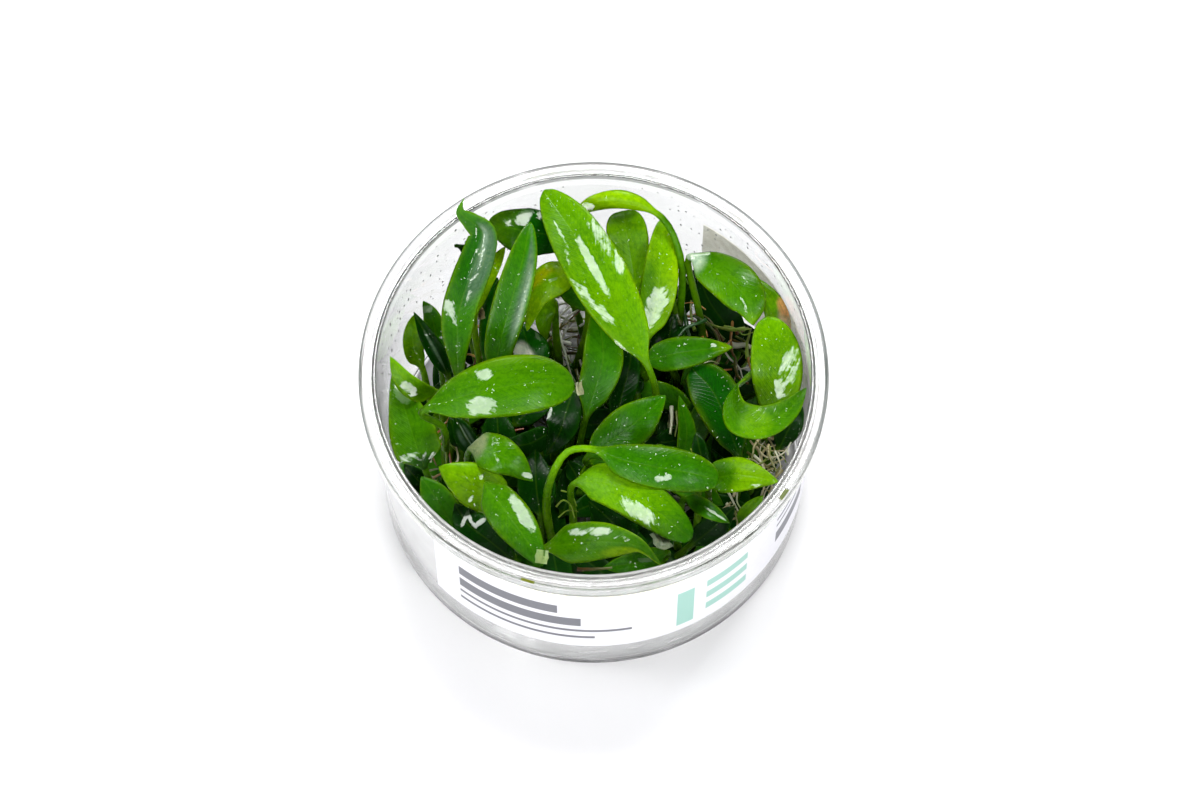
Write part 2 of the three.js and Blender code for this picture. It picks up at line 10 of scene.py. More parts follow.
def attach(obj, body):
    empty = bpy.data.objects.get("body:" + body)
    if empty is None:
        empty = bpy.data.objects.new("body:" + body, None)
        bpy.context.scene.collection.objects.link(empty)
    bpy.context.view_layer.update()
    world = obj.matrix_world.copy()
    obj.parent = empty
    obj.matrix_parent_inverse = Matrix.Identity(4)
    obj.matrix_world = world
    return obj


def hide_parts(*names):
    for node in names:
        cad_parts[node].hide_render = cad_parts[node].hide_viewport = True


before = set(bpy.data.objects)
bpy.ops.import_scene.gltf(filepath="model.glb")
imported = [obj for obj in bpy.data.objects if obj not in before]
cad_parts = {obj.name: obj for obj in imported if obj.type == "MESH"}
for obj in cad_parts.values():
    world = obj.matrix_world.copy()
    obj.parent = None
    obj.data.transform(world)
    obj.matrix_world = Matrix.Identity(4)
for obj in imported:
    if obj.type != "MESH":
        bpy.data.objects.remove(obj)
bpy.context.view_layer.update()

# A tissue culture pot of anubias congensis: glossy leaves on creeping rhizomes in an open clear cup.
# Lengths are in millimetres and become metres when a mesh is made.
scale = 0.001
seed = 7


# Colours and curves

def srgb(text):  # "#rrggbb" to linear red, green, blue
    parts = [int(text[i:i + 2], 16) / 255 for i in (1, 3, 5)]
    return tuple(p / 12.92 if p <= 0.04045 else ((p + 0.055) / 1.055) ** 2.4 for p in parts)


def blendColor(a, b, share):
    return tuple(x + (y - x) * share for x, y in zip(a, b))


def smoothStep(low, high, x):
    t = min(max((x - low) / (high - low), 0), 1)
    return t * t * (3 - 2 * t)


class SmoothPath:  # a curve through points, rounded evenly whatever their spacing (centripetal Catmull-Rom)
    def __init__(self, points):
        self.points = [Vector(p) for p in points]

    def pointAt(self, t):
        points = self.points
        last = len(points) - 1
        place = min(max(t, 0), 1) * last
        i = min(int(place), last - 1)
        w = place - i
        p1, p2 = points[i], points[i + 1]
        p0 = points[i - 1] if i > 0 else 2 * p1 - p2
        p3 = points[i + 2] if i + 2 <= last else 2 * p2 - p1
        d0, d1, d2 = [(b - a).length ** 0.5 for a, b in ((p0, p1), (p1, p2), (p2, p3))]
        m1 = ((p1 - p0) / d0 - (p2 - p0) / (d0 + d1) + (p2 - p1) / d1) * d1
        m2 = ((p2 - p1) / d1 - (p3 - p1) / (d1 + d2) + (p3 - p2) / d2) * d1
        return p1 + m1 * w + (3 * (p2 - p1) - 2 * m1 - m2) * w ** 2 + (2 * (p1 - p2) + m1 + m2) * w ** 3

    def directionAt(self, t):
        t = min(max(t, 0.001), 0.999)
        return (self.pointAt(t + 0.0001) - self.pointAt(t - 0.0001)).normalized()


# Meshes

def makePiece(name, points, faces, materials, faceMaterials=None, values=None, smooth=True):
    mesh = bpy.data.meshes.new(name)
    mesh.from_pydata([Vector(p) * scale for p in points], [], faces)
    for material in materials:
        mesh.materials.append(material)
    if faceMaterials:
        mesh.polygons.foreach_set("material_index", faceMaterials)
    mesh.polygons.foreach_set("use_smooth", [smooth] * len(mesh.polygons))
    for key, (kind, numbers) in (values or {}).items():
        attribute = mesh.attributes.new(key, kind, "POINT")
        field = "color" if kind == "FLOAT_COLOR" else "vector"
        attribute.data.foreach_set(field, [n for item in numbers for n in item])
    mesh.update()
    piece = bpy.data.objects.new(name, mesh)
    bpy.context.scene.collection.objects.link(piece)
    return piece


def skinRings(rings, offset=0):  # faces between rings of equal length, and one over each end
    count = len(rings[0])
    faces = []
    for r in range(len(rings) - 1):
        for i in range(count):
            j = (i + 1) % count
            a, b = offset + r * count + i, offset + r * count + j
            faces.append((a, b, b + count, a + count))
    last = offset + (len(rings) - 1) * count
    faces.append(tuple(offset + i for i in reversed(range(count))))
    faces.append(tuple(last + i for i in range(count)))
    return faces


def latheOutline(corners, arcSteps=5):  # rounds each (radius, height, rounding) corner of an outline
    outline = []
    for i, (r, z, rounding) in enumerate(corners):
        here = Vector((r, z))
        if rounding == 0 or i in (0, len(corners) - 1):
            outline.append(here)
            continue
        before = Vector(corners[i - 1][:2]) - here
        after = Vector(corners[i + 1][:2]) - here
        reach = min(rounding, before.length * 0.48, after.length * 0.48)
        start, end = here + before.normalized() * reach, here + after.normalized() * reach
        for k in range(arcSteps + 1):
            t = k / arcSteps
            outline.append(start * (1 - t) ** 2 + here * 2 * t * (1 - t) + end * t ** 2)
    return outline


def latheMesh(outline, sides):  # turns an outline that starts and ends on the axis
    points = [(0, 0, outline[0].y), (0, 0, outline[-1].y)]
    faces = []
    middle = outline[1:-1]
    for i in range(sides):
        angle = 2 * math.pi * i / sides
        points.extend((p.x * math.cos(angle), p.x * math.sin(angle), p.y) for p in middle)
    count = len(middle)
    for i in range(sides):
        a, b = 2 + i * count, 2 + (i + 1) % sides * count
        faces.append((0, b, a))
        faces.extend((a + k, b + k, b + k + 1, a + k + 1) for k in range(count - 1))
        faces.append((a + count - 1, b + count - 1, 1))
    return points, faces


# Node trees

class Link:  # one socket's value: sums on it add Math nodes
    def __init__(self, wiring, socket):
        self.wiring = wiring
        self.socket = socket

    def math(self, operation, *values):
        sockets = dict(enumerate(values))
        return self.wiring.node("ShaderNodeMath", {"operation": operation}, sockets)

    def __add__(self, other):
        return self.math("ADD", self, other)

    def __radd__(self, other):
        return self.math("ADD", other, self)

    def __sub__(self, other):
        return self.math("SUBTRACT", self, other)

    def __rsub__(self, other):
        return self.math("SUBTRACT", other, self)

    def __mul__(self, other):
        return self.math("MULTIPLY", self, other)

    def __rmul__(self, other):
        return self.math("MULTIPLY", other, self)

    def __truediv__(self, other):
        return self.math("DIVIDE", self, other)

    def __rtruediv__(self, other):
        return self.math("DIVIDE", other, self)

    def absolute(self):
        return self.math("ABSOLUTE", self)

    def fraction(self):
        return self.math("FRACT", self)

    def atLeast(self, other):
        return self.math("MAXIMUM", self, other)

    def step(self, low, high):  # 0 below low, 1 above high, smooth between
        sockets = {"Value": self, "From Min": low, "From Max": high}
        return self.wiring.node("ShaderNodeMapRange", {"interpolation_type": "SMOOTHSTEP"}, sockets, "Result")

    def times(self, factors):  # a vector, by a vector
        sockets = {0: self, 1: factors}
        return self.wiring.node("ShaderNodeVectorMath", {"operation": "MULTIPLY"}, sockets)

    def part(self, name):  # "X", "Y" or "Z" of a vector
        return self.wiring.node("ShaderNodeSeparateXYZ", {}, {"Vector": self}, name)


class Wiring:  # a node tree, and any node in it
    def __init__(self, tree):
        self.tree = tree

    def feed(self, socket, value):
        if isinstance(value, Link):
            self.tree.links.new(value.socket, socket)
        elif isinstance(value, tuple) and len(value) == 3 and socket.type == "RGBA":
            socket.default_value = (*value, 1)
        else:
            socket.default_value = value

    def node(self, kind, settings=None, sockets=None, output=0):
        node = self.tree.nodes.new(kind)
        for key, value in (settings or {}).items():
            setattr(node, key, value)
        for key, value in (sockets or {}).items():
            self.feed(node.inputs[key], value)
        return Link(self, node.outputs[output])

    def attribute(self, name, output="Color"):
        return self.node("ShaderNodeAttribute", {"attribute_name": name}, {}, output)

    def noise(self, where, size, detail=2.0, roughness=0.5, output="Fac"):
        sockets = {"Scale": size, "Detail": detail, "Roughness": roughness}
        if where:
            sockets["Vector"] = where
        return self.node("ShaderNodeTexNoise", {}, sockets, output)

    def vector(self, x, y, z):
        return self.node("ShaderNodeCombineXYZ", {}, {"X": x, "Y": y, "Z": z})


class Recipe(Wiring):  # one material: its shader, and the nodes that feed it
    def __init__(self, name, **constants):
        self.material = bpy.data.materials.new(name)
        self.material.use_nodes = True
        super().__init__(self.material.node_tree)
        self.tree.nodes.clear()
        self.output = self.tree.nodes.new("ShaderNodeOutputMaterial")
        self.shader = self.tree.nodes.new("ShaderNodeBsdfPrincipled")
        self.tree.links.new(self.shader.outputs[0], self.output.inputs[0])
        self.set(**constants)

    def mix(self, a, b, share, blend="MIX"):  # colours, by a Mix node
        settings = {"data_type": "RGBA", "blend_type": blend}
        return self.node("ShaderNodeMix", settings, {"Factor": share, 6: a, 7: b}, 2)

    def mixVector(self, a, b, share):
        return self.node("ShaderNodeMix", {"data_type": "VECTOR"}, {"Factor": share, 4: a, 5: b}, 1)

    def place(self):
        return self.node("ShaderNodeTexCoord", {}, {}, "Object")

    def bump(self, height, strength, distance):
        return self.node("ShaderNodeBump", {}, {"Height": height, "Strength": strength, "Distance": distance})

    def setOn(self, shader, **values):
        for key, value in values.items():
            self.feed(shader.inputs[key.replace("_", " ")], value)
        return self.material

    def set(self, **values):
        return self.setOn(self.shader, **values)

    def addShader(self, **constants):  # a second finish, for mixShaders
        shader = self.tree.nodes.new("ShaderNodeBsdfPrincipled")
        self.setOn(shader, **constants)
        return shader

    def mixShaders(self, second, share):  # the first finish, and the second over a share of it
        mixer = self.tree.nodes.new("ShaderNodeMixShader")
        self.feed(mixer.inputs[0], share)
        self.tree.links.new(self.shader.outputs[0], mixer.inputs[1])
        self.tree.links.new(second.outputs[0], mixer.inputs[2])
        self.tree.links.new(mixer.outputs[0], self.output.inputs[0])
        return self.material


class Growth(Wiring):  # a Geometry Nodes tree with named sizes, for what repeats or follows a path
    def __init__(self, name, material, **sizes):
        super().__init__(bpy.data.node_groups.new(name, "GeometryNodeTree"))
        self.material = material
        face = self.tree.interface
        face.new_socket("Start", in_out="INPUT", socket_type="NodeSocketGeometry")
        face.new_socket("Grown", in_out="OUTPUT", socket_type="NodeSocketGeometry")
        kinds = {int: "NodeSocketInt", float: "NodeSocketFloat"}
        self.sizes = {
            face.new_socket(key, in_out="INPUT", socket_type=kinds[type(value)]).identifier: value
            for key, value in sizes.items()
        }
        self.entry = self.tree.nodes.new("NodeGroupInput")

    def size(self, name):
        return Link(self, self.entry.outputs[name])

    def named(self, name):
        settings = {"data_type": "FLOAT"}
        return self.node("GeometryNodeInputNamedAttribute", settings, {"Name": name}, "Attribute")

    def random(self, low, high, order):
        node = self.tree.nodes.new("FunctionNodeRandomValue")
        sockets = {socket.identifier: socket for socket in node.inputs}
        self.feed(sockets["Min_001"], low)
        self.feed(sockets["Max_001"], high)
        self.feed(sockets["Seed"], seed + order)
        return Link(self, node.outputs[1])

    def grow(self, name, start, grown):  # start is used up: its grown mesh becomes the piece
        real = self.node("GeometryNodeRealizeInstances", {}, {0: grown})
        smooth = self.node("GeometryNodeSetShadeSmooth", {}, {0: real})
        dressed = self.node("GeometryNodeSetMaterial", {}, {0: smooth, "Material": self.material})
        self.feed(self.tree.nodes.new("NodeGroupOutput").inputs[0], dressed)
        modifier = start.modifiers.new("growth", "NODES")
        modifier.node_group = self.tree
        for identifier, value in self.sizes.items():
            modifier[identifier] = value
        ready = start.evaluated_get(bpy.context.evaluated_depsgraph_get())
        mesh = bpy.data.meshes.new_from_object(ready)
        mesh.name = name
        bpy.data.objects.remove(start)
        piece = bpy.data.objects.new(name, mesh)
        bpy.context.scene.collection.objects.link(piece)
        return piece


# Materials

def makeClearPlastic():
    recipe = Recipe("clearPlastic", Roughness=0.03, IOR=1.5, Transmission_Weight=1.0)
    r = rimLines
    where = recipe.place()
    x, y, height = [where.part(axis) / scale for axis in "XYZ"]
    flat = where.times((1.0, 1.0, 0.0))
    radius = recipe.node("ShaderNodeVectorMath", {"operation": "LENGTH"}, {0: flat}, "Value") / scale
    patchy = recipe.noise(where, 150.0, 3.0, 0.6)
    turned = recipe.vector(y.math("ARCTAN2", y, x) * 7.0, radius * 2.2, height * 0.8)
    flow = recipe.noise(turned, 1.0, 3.0, 0.65)

    def past(value, place, blur):  # 0 below a place, 1 above it
        return value.step(place - blur, place + blur)

    def ring(place, half):  # 1 on a thin line round the axis
        return 1 - ((radius - place).absolute() / half).step(0.3, 1.0)

    behind, farRight, farLeft = y.step(*r["behind"]), x.step(*r["farRight"]), (y - x).step(*r["farLeft"])
    nearRight = farRight * (1 - y.step(*r["nearRight"]))
    # painted shade: grey is painted where the moulded rim's edges turn over, outside and round the mouth, for
    # how these edges darken
    outer = past(radius + farRight * 0.3, r["outer"], 0.15) * (behind * 0.75 + 0.25)
    mouth = ring(r["mouth"], 0.2) * patchy.step(0.2, 0.5) * behind * (0.8 - farRight * 0.4)
    second = ring(r["second"], 0.16) * farLeft * patchy.step(0.35, 0.55) * 0.6
    lines = outer.atLeast(mouth).atLeast(second)
    # painted shade too: a paler grey beside its outer edge and the mouth, and grey streaks over most of it in
    # front, for how the clear rim looks there
    pale = radius.step(r["outer"] - 0.65, r["outer"] - 0.35) * (behind * 0.5 + 0.2)
    inner = (1 - radius.step(r["mouth"] + 0.5, r["mouth"] + 0.9)) * (1 - behind * 0.7) * 0.7
    paintedFrontGrey = (flow.step(0.42, 0.62) * 0.4 + 0.35) * (1 - behind * (0.85 - nearRight * 0.75))
    greys = lines.atLeast(pale).atLeast(inner).atLeast(paintedFrontGrey) * past(height, r["from"], 0.1)
    # painted reflection: the skirt under its outer edge is painted with a tint of the leaves seen through it
    skirt = past(radius, r["skirt"], 0.02) * height.step(49.0, 49.6)
    skirt = skirt * patchy.step(0.4, 0.65) * (1 - height.step(51.8, 52.4))
    # damp and fine scratches make the wall a little milky, and the foot and the floor too; the wall's
    # stronger milkiness in front is painted light, standing in for light that the clear wall lets through
    outside = past(radius, r["wall"], 0.1) * (1 - height.step(48.0, 49.0))
    near = 1 - y.step(*r["near"])
    haze = outside * (patchy * 0.1 + 0.04 + near * 0.4) * height.step(2.0, 20.0)
    foot = outside * (1 - height.step(9.0, 12.0)) * flow.step(0.52, 0.68) * 0.3
    floor = (1 - past(height, r["floor"] + 0.35, 0.25)) * past(height, r["floor"] - 0.25, 0.15)
    floor = floor * (1 - outside) * (patchy * 0.3 + 0.2)
    color = recipe.mix(r["clearTone"], r["skirtPaintedTint"], skirt)
    recipe.set(Base_Color=color, Normal=recipe.bump(recipe.noise(where, 60.0), 0.05, 0.001))
    edge = recipe.addShader(Roughness=0.4, IOR=1.3)
    greyPaintAndHaze = recipe.mix(r["pale"], r["haze"], 1 - height.step(49.0, 50.0))
    recipe.setOn(edge, Base_Color=recipe.mix(greyPaintAndHaze, r["tone"], lines))
    return recipe.mixShaders(edge, (greys * r["strength"]).atLeast(haze).atLeast(foot).atLeast(floor))


def makeWater():
    return Recipe(
        "waterDrop", Base_Color=(1.0, 1.0, 1.0), Roughness=0.0, IOR=1.33, Transmission_Weight=1.0,
    ).material


def makeLeafSkin():
    recipe = Recipe("leafSkin", IOR=1.45, Specular_IOR_Level=0.12)
    where = recipe.place()
    tint = recipe.attribute("tint")
    damp = recipe.attribute("tint", "Alpha")
    skin = recipe.attribute("skin", "Vector")  # mm across and along the blade, and depth in a pool of water
    across = skin.part("X").absolute()
    along, pool = skin.part("Y"), skin.part("Z")
    wobble = recipe.noise(where, 300.0, 2.0)
    # side veins leave the midrib at a slant and bend towards the tip
    row = (along - across * 1.1 - across * across * 0.08 + wobble * 0.8) / 1.3
    vein = (row.fraction() - 0.5).absolute().step(0.3, 0.5)
    midrib = 1 - across.step(0.05, 0.3)
    cloud = recipe.noise(where, 55.0, 3.0, 0.55)
    mottle = recipe.noise(where, 190.0, 4.0, 0.65)
    grains = recipe.noise(where, 900.0, 3.0, 0.7)
    fine = recipe.noise(where, 1700.0, 2.0)
    fibre = recipe.noise(recipe.vector(across * 1.6, along * 0.12, 0.0), 1.0, 3.0, 0.6)
    darker = recipe.mix(tint, (0.3, 0.44, 0.3), 1.0, "MULTIPLY")
    lighter = recipe.mix(tint, (1.5, 1.22, 1.0), 1.0, "MULTIPLY")
    color = tint
    for tone, share in [
        (darker, cloud.step(0.5, 0.72) * 0.5), (lighter, (1 - cloud.step(0.3, 0.48)) * 0.6),
        (darker, mottle.step(0.45, 0.75) * 0.3), (darker, fibre.step(0.5, 0.7) * 0.35),
        (lighter, (1 - fibre.step(0.32, 0.45)) * 0.35), (darker, grains.step(0.48, 0.66) * 0.35),
        (lighter, (1 - grains.step(0.32, 0.46)) * 0.5), (lighter, (1 - fine.step(0.3, 0.45)) * 0.4),
        (darker, vein * 0.12), ((0.20, 0.42, 0.01), midrib * 0.06),
    ]:
        color = recipe.mix(color, tone, share)
    height = vein * 0.12 + fine * 0.08 + midrib * -0.2 + grains * 0.1 + mottle * 0.35 + cloud * 1.2
    wet = recipe.noise(where, 90.0, 3.0, 0.6).step(0.4, 0.6) * damp
    recipe.set(Base_Color=color, Roughness=0.3 - wet * 0.12, Normal=recipe.bump(height, 0.45, 0.00025))
    # water lies level on the blade in pools, drawn out along the side veins, and in specks between them; the
    # pools are also painted paler, a painted reflection of the soft light
    ragged = recipe.noise(where, 260.0, 3.0, 0.7)
    gaps = recipe.noise(where, 1100.0, 3.0, 0.65)
    streak = recipe.noise(recipe.vector(row * 0.9, across * 0.12, 0.0), 1.0, 3.0, 0.6)
    depth = pool + ragged * 1.2 + streak * 1.3 + gaps * 0.5 - 1.5
    speck = fine.step(0.68, 0.72) * mottle.step(0.44, 0.54) * damp
    cover = (depth.step(-0.1, 0.22) * pool.step(-0.3, -0.05)).atLeast(speck)
    film = recipe.addShader(IOR=1.4, Specular_IOR_Level=0.38, Roughness=0.07)
    ripple = recipe.bump(ragged * 0.6 + gaps * 0.4, 0.3, 0.0002)
    recipe.setOn(
        film, Base_Color=recipe.mix(color, (0.36, 0.5, 0.3), 0.3),
        Normal=recipe.mixVector((0.0, 0.0, 1.0), ripple, 0.06),
    )
    sheen = recipe.noise(where, 420.0, 3.0, 0.6).step(0.38, 0.6)
    return recipe.mixShaders(film, cover * (sheen * 0.26 + 0.72))


def makeStemSkin():
    recipe = Recipe("stemSkin", IOR=1.45, Coat_Weight=0.3, Coat_Roughness=0.1)
    where = recipe.place()
    tint = recipe.attribute("tint")
    patch = recipe.noise(where, 420.0, 4.0, 0.6)
    color = recipe.mix(tint, srgb("#3a2c12"), patch.step(0.45, 0.7) * 0.7)
    normal = recipe.bump(patch, 0.6, 0.0004)
    return recipe.set(Base_Color=color, Roughness=0.5, Normal=normal)


def makeRootSkin():
    recipe = Recipe("rootSkin", IOR=1.4, Coat_Weight=0.4, Coat_Roughness=0.08)
    where = recipe.place()
    tint = recipe.attribute("tint")
    patch = recipe.noise(where, 260.0, 4.0, 0.6)
    color = recipe.mix(tint, srgb("#6b4a1c"), patch.step(0.5, 0.75) * 0.6)
    return recipe.set(Base_Color=color, Roughness=0.45, Normal=recipe.bump(patch, 0.4, 0.0003))


def makeLabelFront():
    recipe = Recipe("labelFront", IOR=1.45, Roughness=0.5)
    place = recipe.attribute("print", "Vector")  # along the strip from its left end and up from its foot, mm
    along, up = place.part("X"), place.part("Y")
    grain = recipe.noise(recipe.place(), 900.0, 3.0)

    def band(value, low, high):  # 1 between low and high
        return value.step(low - 0.05, low + 0.05) * (1 - value.step(high - 0.05, high + 0.05))

    def printed(kind):  # 1 on each rectangle of one kind
        rows = labelPrint[kind]
        shares = [band(along, left, right) * band(up, low, high) for left, right, low, high in rows]
        return reduce(Link.atLeast, shares)

    paper = recipe.mix(srgb("#dadade"), srgb("#d2d2d9"), grain)
    color = recipe.mix(paper, srgb("#8fb9ae"), printed("bands"))
    color = recipe.mix(color, srgb("#66676e"), printed("bars"))
    return recipe.set(Base_Color=color, Normal=recipe.bump(grain, 0.05, 0.0002))


def makeLabelBack():
    # painted light: the back glows by emission, standing in for light that comes through the paper
    recipe = Recipe("labelBack", IOR=1.45, Roughness=0.6, Emission_Strength=0.5)
    grain = recipe.noise(recipe.place(), 500.0, 3.0)
    color = recipe.mix(srgb("#f2f1e8"), srgb("#dfddd0"), grain.step(0.35, 0.65))
    return recipe.set(Base_Color=color, Emission_Color=color)


def makeFloorPaint():
    recipe = Recipe("floorPaint", Roughness=0.9, IOR=1.3)
    grain = recipe.noise(recipe.place(), 40.0, 2.0)
    return recipe.set(Base_Color=recipe.mix((0.93, 0.93, 0.94), (0.91, 0.91, 0.93), grain))


rimLines = {
    # mm from the axis of the cup: its outer edge and the lines round the mouth, both painted grey as shade,
    # the skirt and the wall
    "outer": 49.45, "mouth": 46.25, "second": 47.55, "skirt": 49.9, "wall": 46.3,
    # heights of the rim's upper side and the floor, and where each side of the cup begins and is whole
    "from": 51.9, "floor": 1.6, "behind": (-38.0, -12.0), "near": (-50.0, 35.0), "nearRight": (-18.0, 2.0),
    "farRight": (10.0, 35.0), "farLeft": (-10.0, 20.0),
    # strength, tone and pale give the rim's painted shade; the milky white below is the wall's haze and
    # painted light, and the olive skirt colour its painted reflection of the leaves
    "strength": 0.85, "tone": (0.11, 0.125, 0.115), "pale": (0.36, 0.36, 0.35), "haze": (0.86, 0.86, 0.87),
    "skirtPaintedTint": (0.55, 0.57, 0.48), "clearTone": (0.93, 0.935, 0.93),
}
labelPrint = {
    # plain grey rules and mint bands: left, right, foot and head of each, mm along and up the strip
    "bars": [
        (7, 30, 18.5, 23), (7, 35, 12, 16.5), (7, 46, 8.6, 9.9), (7, 38, 4.8, 6.1),
        (84, 95, 20, 21.2), (84, 93, 16.6, 17.8), (84, 97, 8, 13.5),
    ],
    "bands": [(56, 60, 3, 22), (63, 74, 18.5, 22), (63, 74, 12, 15.5), (63, 74, 5.5, 9), (104, 140, 12, 16)],
}
clearPlastic = makeClearPlastic()
waterDrop = makeWater()
leafSkin = makeLeafSkin()
stemSkin = makeStemSkin()
rootSkin = makeRootSkin()
labelFront = makeLabelFront()
labelBack = makeLabelBack()
floorPaint = makeFloorPaint()
print("materials made")


# Cup: one moulded clear piece with a flat rolled rim

cupPiece = {
    "height": 53, "rimRadius": 50, "rimDepth": 3.2, "rimSkin": 1.0, "mouthRadius": 46.2,
    "wallTop": 47, "wallFoot": 46.6, "innerFoot": 45.5, "floor": 1.6, "footEdge": 1.6,
    "beadDepth": 0.45, "beadFromMouth": 1.2, "beadHalves": (0.55, 0.3), "sides": 256,
}


def wallRadiusAt(z):
    low, high = cupPiece["footEdge"], cupPiece["height"] - cupPiece["rimSkin"]
    return cupPiece["wallFoot"] + (cupPiece["wallTop"] - cupPiece["wallFoot"]) * (z - low) / (high - low)


def innerRadiusAt(z):
    low, high = cupPiece["floor"] + cupPiece["footEdge"], cupPiece["height"]
    share = min(max((z - low) / (high - low), 0), 1)
    return cupPiece["innerFoot"] + (cupPiece["mouthRadius"] - cupPiece["innerFoot"]) * share


def makeCup():
    c = cupPiece
    top, under = c["height"], c["height"] - c["rimSkin"]
    lip = c["height"] - c["rimDepth"]
    beadAt, bottom = c["mouthRadius"] + c["beadFromMouth"], top - c["beadDepth"]
    wider, narrower = c["beadHalves"]
    corners = [
        (0, 0, 0),
        (c["wallFoot"] - 0.05, 0, c["footEdge"]),
        (c["wallTop"], under, 0.4),
        (c["rimRadius"] - c["rimSkin"], under, 0.3),
        (c["rimRadius"] - c["rimSkin"] * 0.8, lip, 0.25),
        (c["rimRadius"], lip, 0.3),
        (c["rimRadius"], top, 0.9),
        (beadAt + wider, top, 0.15),
        (beadAt + narrower, bottom, 0.15),
        (beadAt - narrower, bottom, 0.15),
        (beadAt - wider, top, 0.15),
        (c["mouthRadius"], top, 0.6),
        (c["innerFoot"], c["floor"], c["footEdge"]),
        (0, c["floor"], 0),
    ]
    points, faces = latheMesh(latheOutline(corners), c["sides"])
    cup = makePiece("cupShell", points, faces, [clearPlastic])
    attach(cup, "root")
    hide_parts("cup")
    return cup


cup = makeCup()
print("cup made")


# Label: a paper strip round the wall, printed on its outer side

labelPiece = {
    "foot": 12.8, "head": 42, "thickness": 0.2, "gap": 0.12, "startDeg": -136, "endDeg": 59,
    "rows": 4, "steps": 200,
}


def makeLabel():
    p = labelPiece
    points, prints, faces, sides = [], [], [], []
    rows = p["rows"]
    heights = [p["foot"] + (p["head"] - p["foot"]) * i / rows for i in range(rows + 1)]
    ring = [(z, p["gap"] + p["thickness"]) for z in heights] + [(z, p["gap"]) for z in reversed(heights)]
    turn = math.radians(p["endDeg"] - p["startDeg"])
    for i in range(p["steps"] + 1):
        angle = math.radians(p["startDeg"]) + turn * i / p["steps"]
        for z, out in ring:
            r = wallRadiusAt(z) + out
            points.append((r * math.cos(angle), r * math.sin(angle), z))
            prints.append((turn * i / p["steps"] * cupPiece["wallTop"], z - p["foot"], 0))
    count = len(ring)
    for i in range(p["steps"]):
        for k in range(count):
            a, b = i * count + k, i * count + (k + 1) % count
            faces.append((a, a + count, b + count, b))
            sides.append(0 if k < rows or k == count - 1 else 1)
    faces.append(tuple(range(count)))
    faces.append(tuple(reversed(range(p["steps"] * count, (p["steps"] + 1) * count))))
    sides += [0, 0]
    label = makePiece(
        "labelStrip", points, faces, [labelFront, labelBack], sides,
        {"print": ("FLOAT_VECTOR", prints)}, smooth=False,
    )
    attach(label, "root")
    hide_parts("label")


makeLabel()
print("label made")


# Leaves: each a round stalk that opens into a lance-shaped blade
# The plant is laid out as it is seen from one viewpoint in front of the cup and high above it.
# foot: where the stalk leaves its rhizome, x and y. path: spine points from there to the tip, as right, up
# and height. stalk: which point the blade starts at, the foot being the first. half: half the blade's
# greatest width. belly: where along the blade that is. root, blunt: smaller is rounder, at base and tip.
# roll, twist: degrees the blade turns about its spine, at its middle and from end to end. cup: how far the
# edges rise towards the viewer. tone: its kind, and its colour where body doesn't name another. stem: tone of
# its stalk. tip: tone it takes near the tip, and from where.
# pools: water lying on it, also painted paler as a painted reflection, as right, up, half length, half width,
# turn in degrees, and at most how full (1).
# spots: place along and across, length and width, tone and strength of a patch, some of them painted sheen
# and painted highlights. damp: how wet the rest is.

leafPiece = {
    "thickness": 0.55, "stalkRadius": 0.75, "footHeight": 7.4, "stalkSteps": 12, "bladeSteps": 44,
    "rib": 0.14, "groove": 0.06, "ribWidth": 0.55, "opening": 0.22, "stalkTaper": 0.25, "sheath": 0.5,
    "tipThin": 0.85, "tipFade": 0.08, "edgeWave": 0.3, "waves": 9, "lean": 0.14, "carrySteps": 60,
}
leafUsual = {
    "stalk": 3, "belly": 0.45, "root": 0.8, "blunt": 0.8, "roll": 0, "twist": 0, "cup": 0.15, "tone": "dark",
    "damp": 1, "pools": [], "spots": [],
}
across = [-1, -0.88, -0.68, -0.45, -0.24, -0.09, 0, 0.09, 0.24, 0.45, 0.68, 0.88, 1]
view = {"elevation": math.radians(66), "distance": 1000, "middle": 53}
viewRise, viewRun = math.sin(view["elevation"]), math.cos(view["elevation"])
eye = Vector((0, -viewRun * view["distance"], view["middle"] + viewRise * view["distance"]))
sight, upright = Vector((0, viewRun, -viewRise)), Vector((0, viewRise, viewRun))
# the two pale grey-green tones are painted sheen on the leaves
tones = {name: srgb(color) for name, color in dict(
    bright="#4f8700", medium="#2a6800", dark="#063200", yellow="#74a600", olive="#5c9600", lime="#86b006",
    fresh="#68a000", middle="#3a7400", deep="#0a4c00", orange="#dd9e5e", tan="#d8bc94", grey="#506a54",
    stalk="#4f7a04", taupe="#858e6a", frost="#aec6ae", rootPale="#cfd0b8", rootWhite="#e9e9dd",
    rootOlive="#5a661c", rootBrown="#54300f", rootRed="#8a3f12", rootGrey="#8d9670", rootTan="#a89c72",
    rootGreen="#7fa02c", rootGold="#c08a3c", scrap="#86a668", gold="#a0a402", film="#8f9c80",
).items()}


def seenAt(point):  # the place at a height that is seen at (right, up), in mm at the middle of the mouth
    right, up, height = point
    onPlane = Vector((right, up * viewRise, view["middle"] + up * viewRun))
    return eye.lerp(onPlane, (eye.z - height) / (eye.z - onPlane.z))


def seenFrom(place):  # the other way round: right, up and height of a place in the cup
    ray = Vector(place) - eye
    depth, up = ray.dot(sight), ray.dot(upright)
    return ray.x / depth * view["distance"], up / depth * view["distance"], place[2]


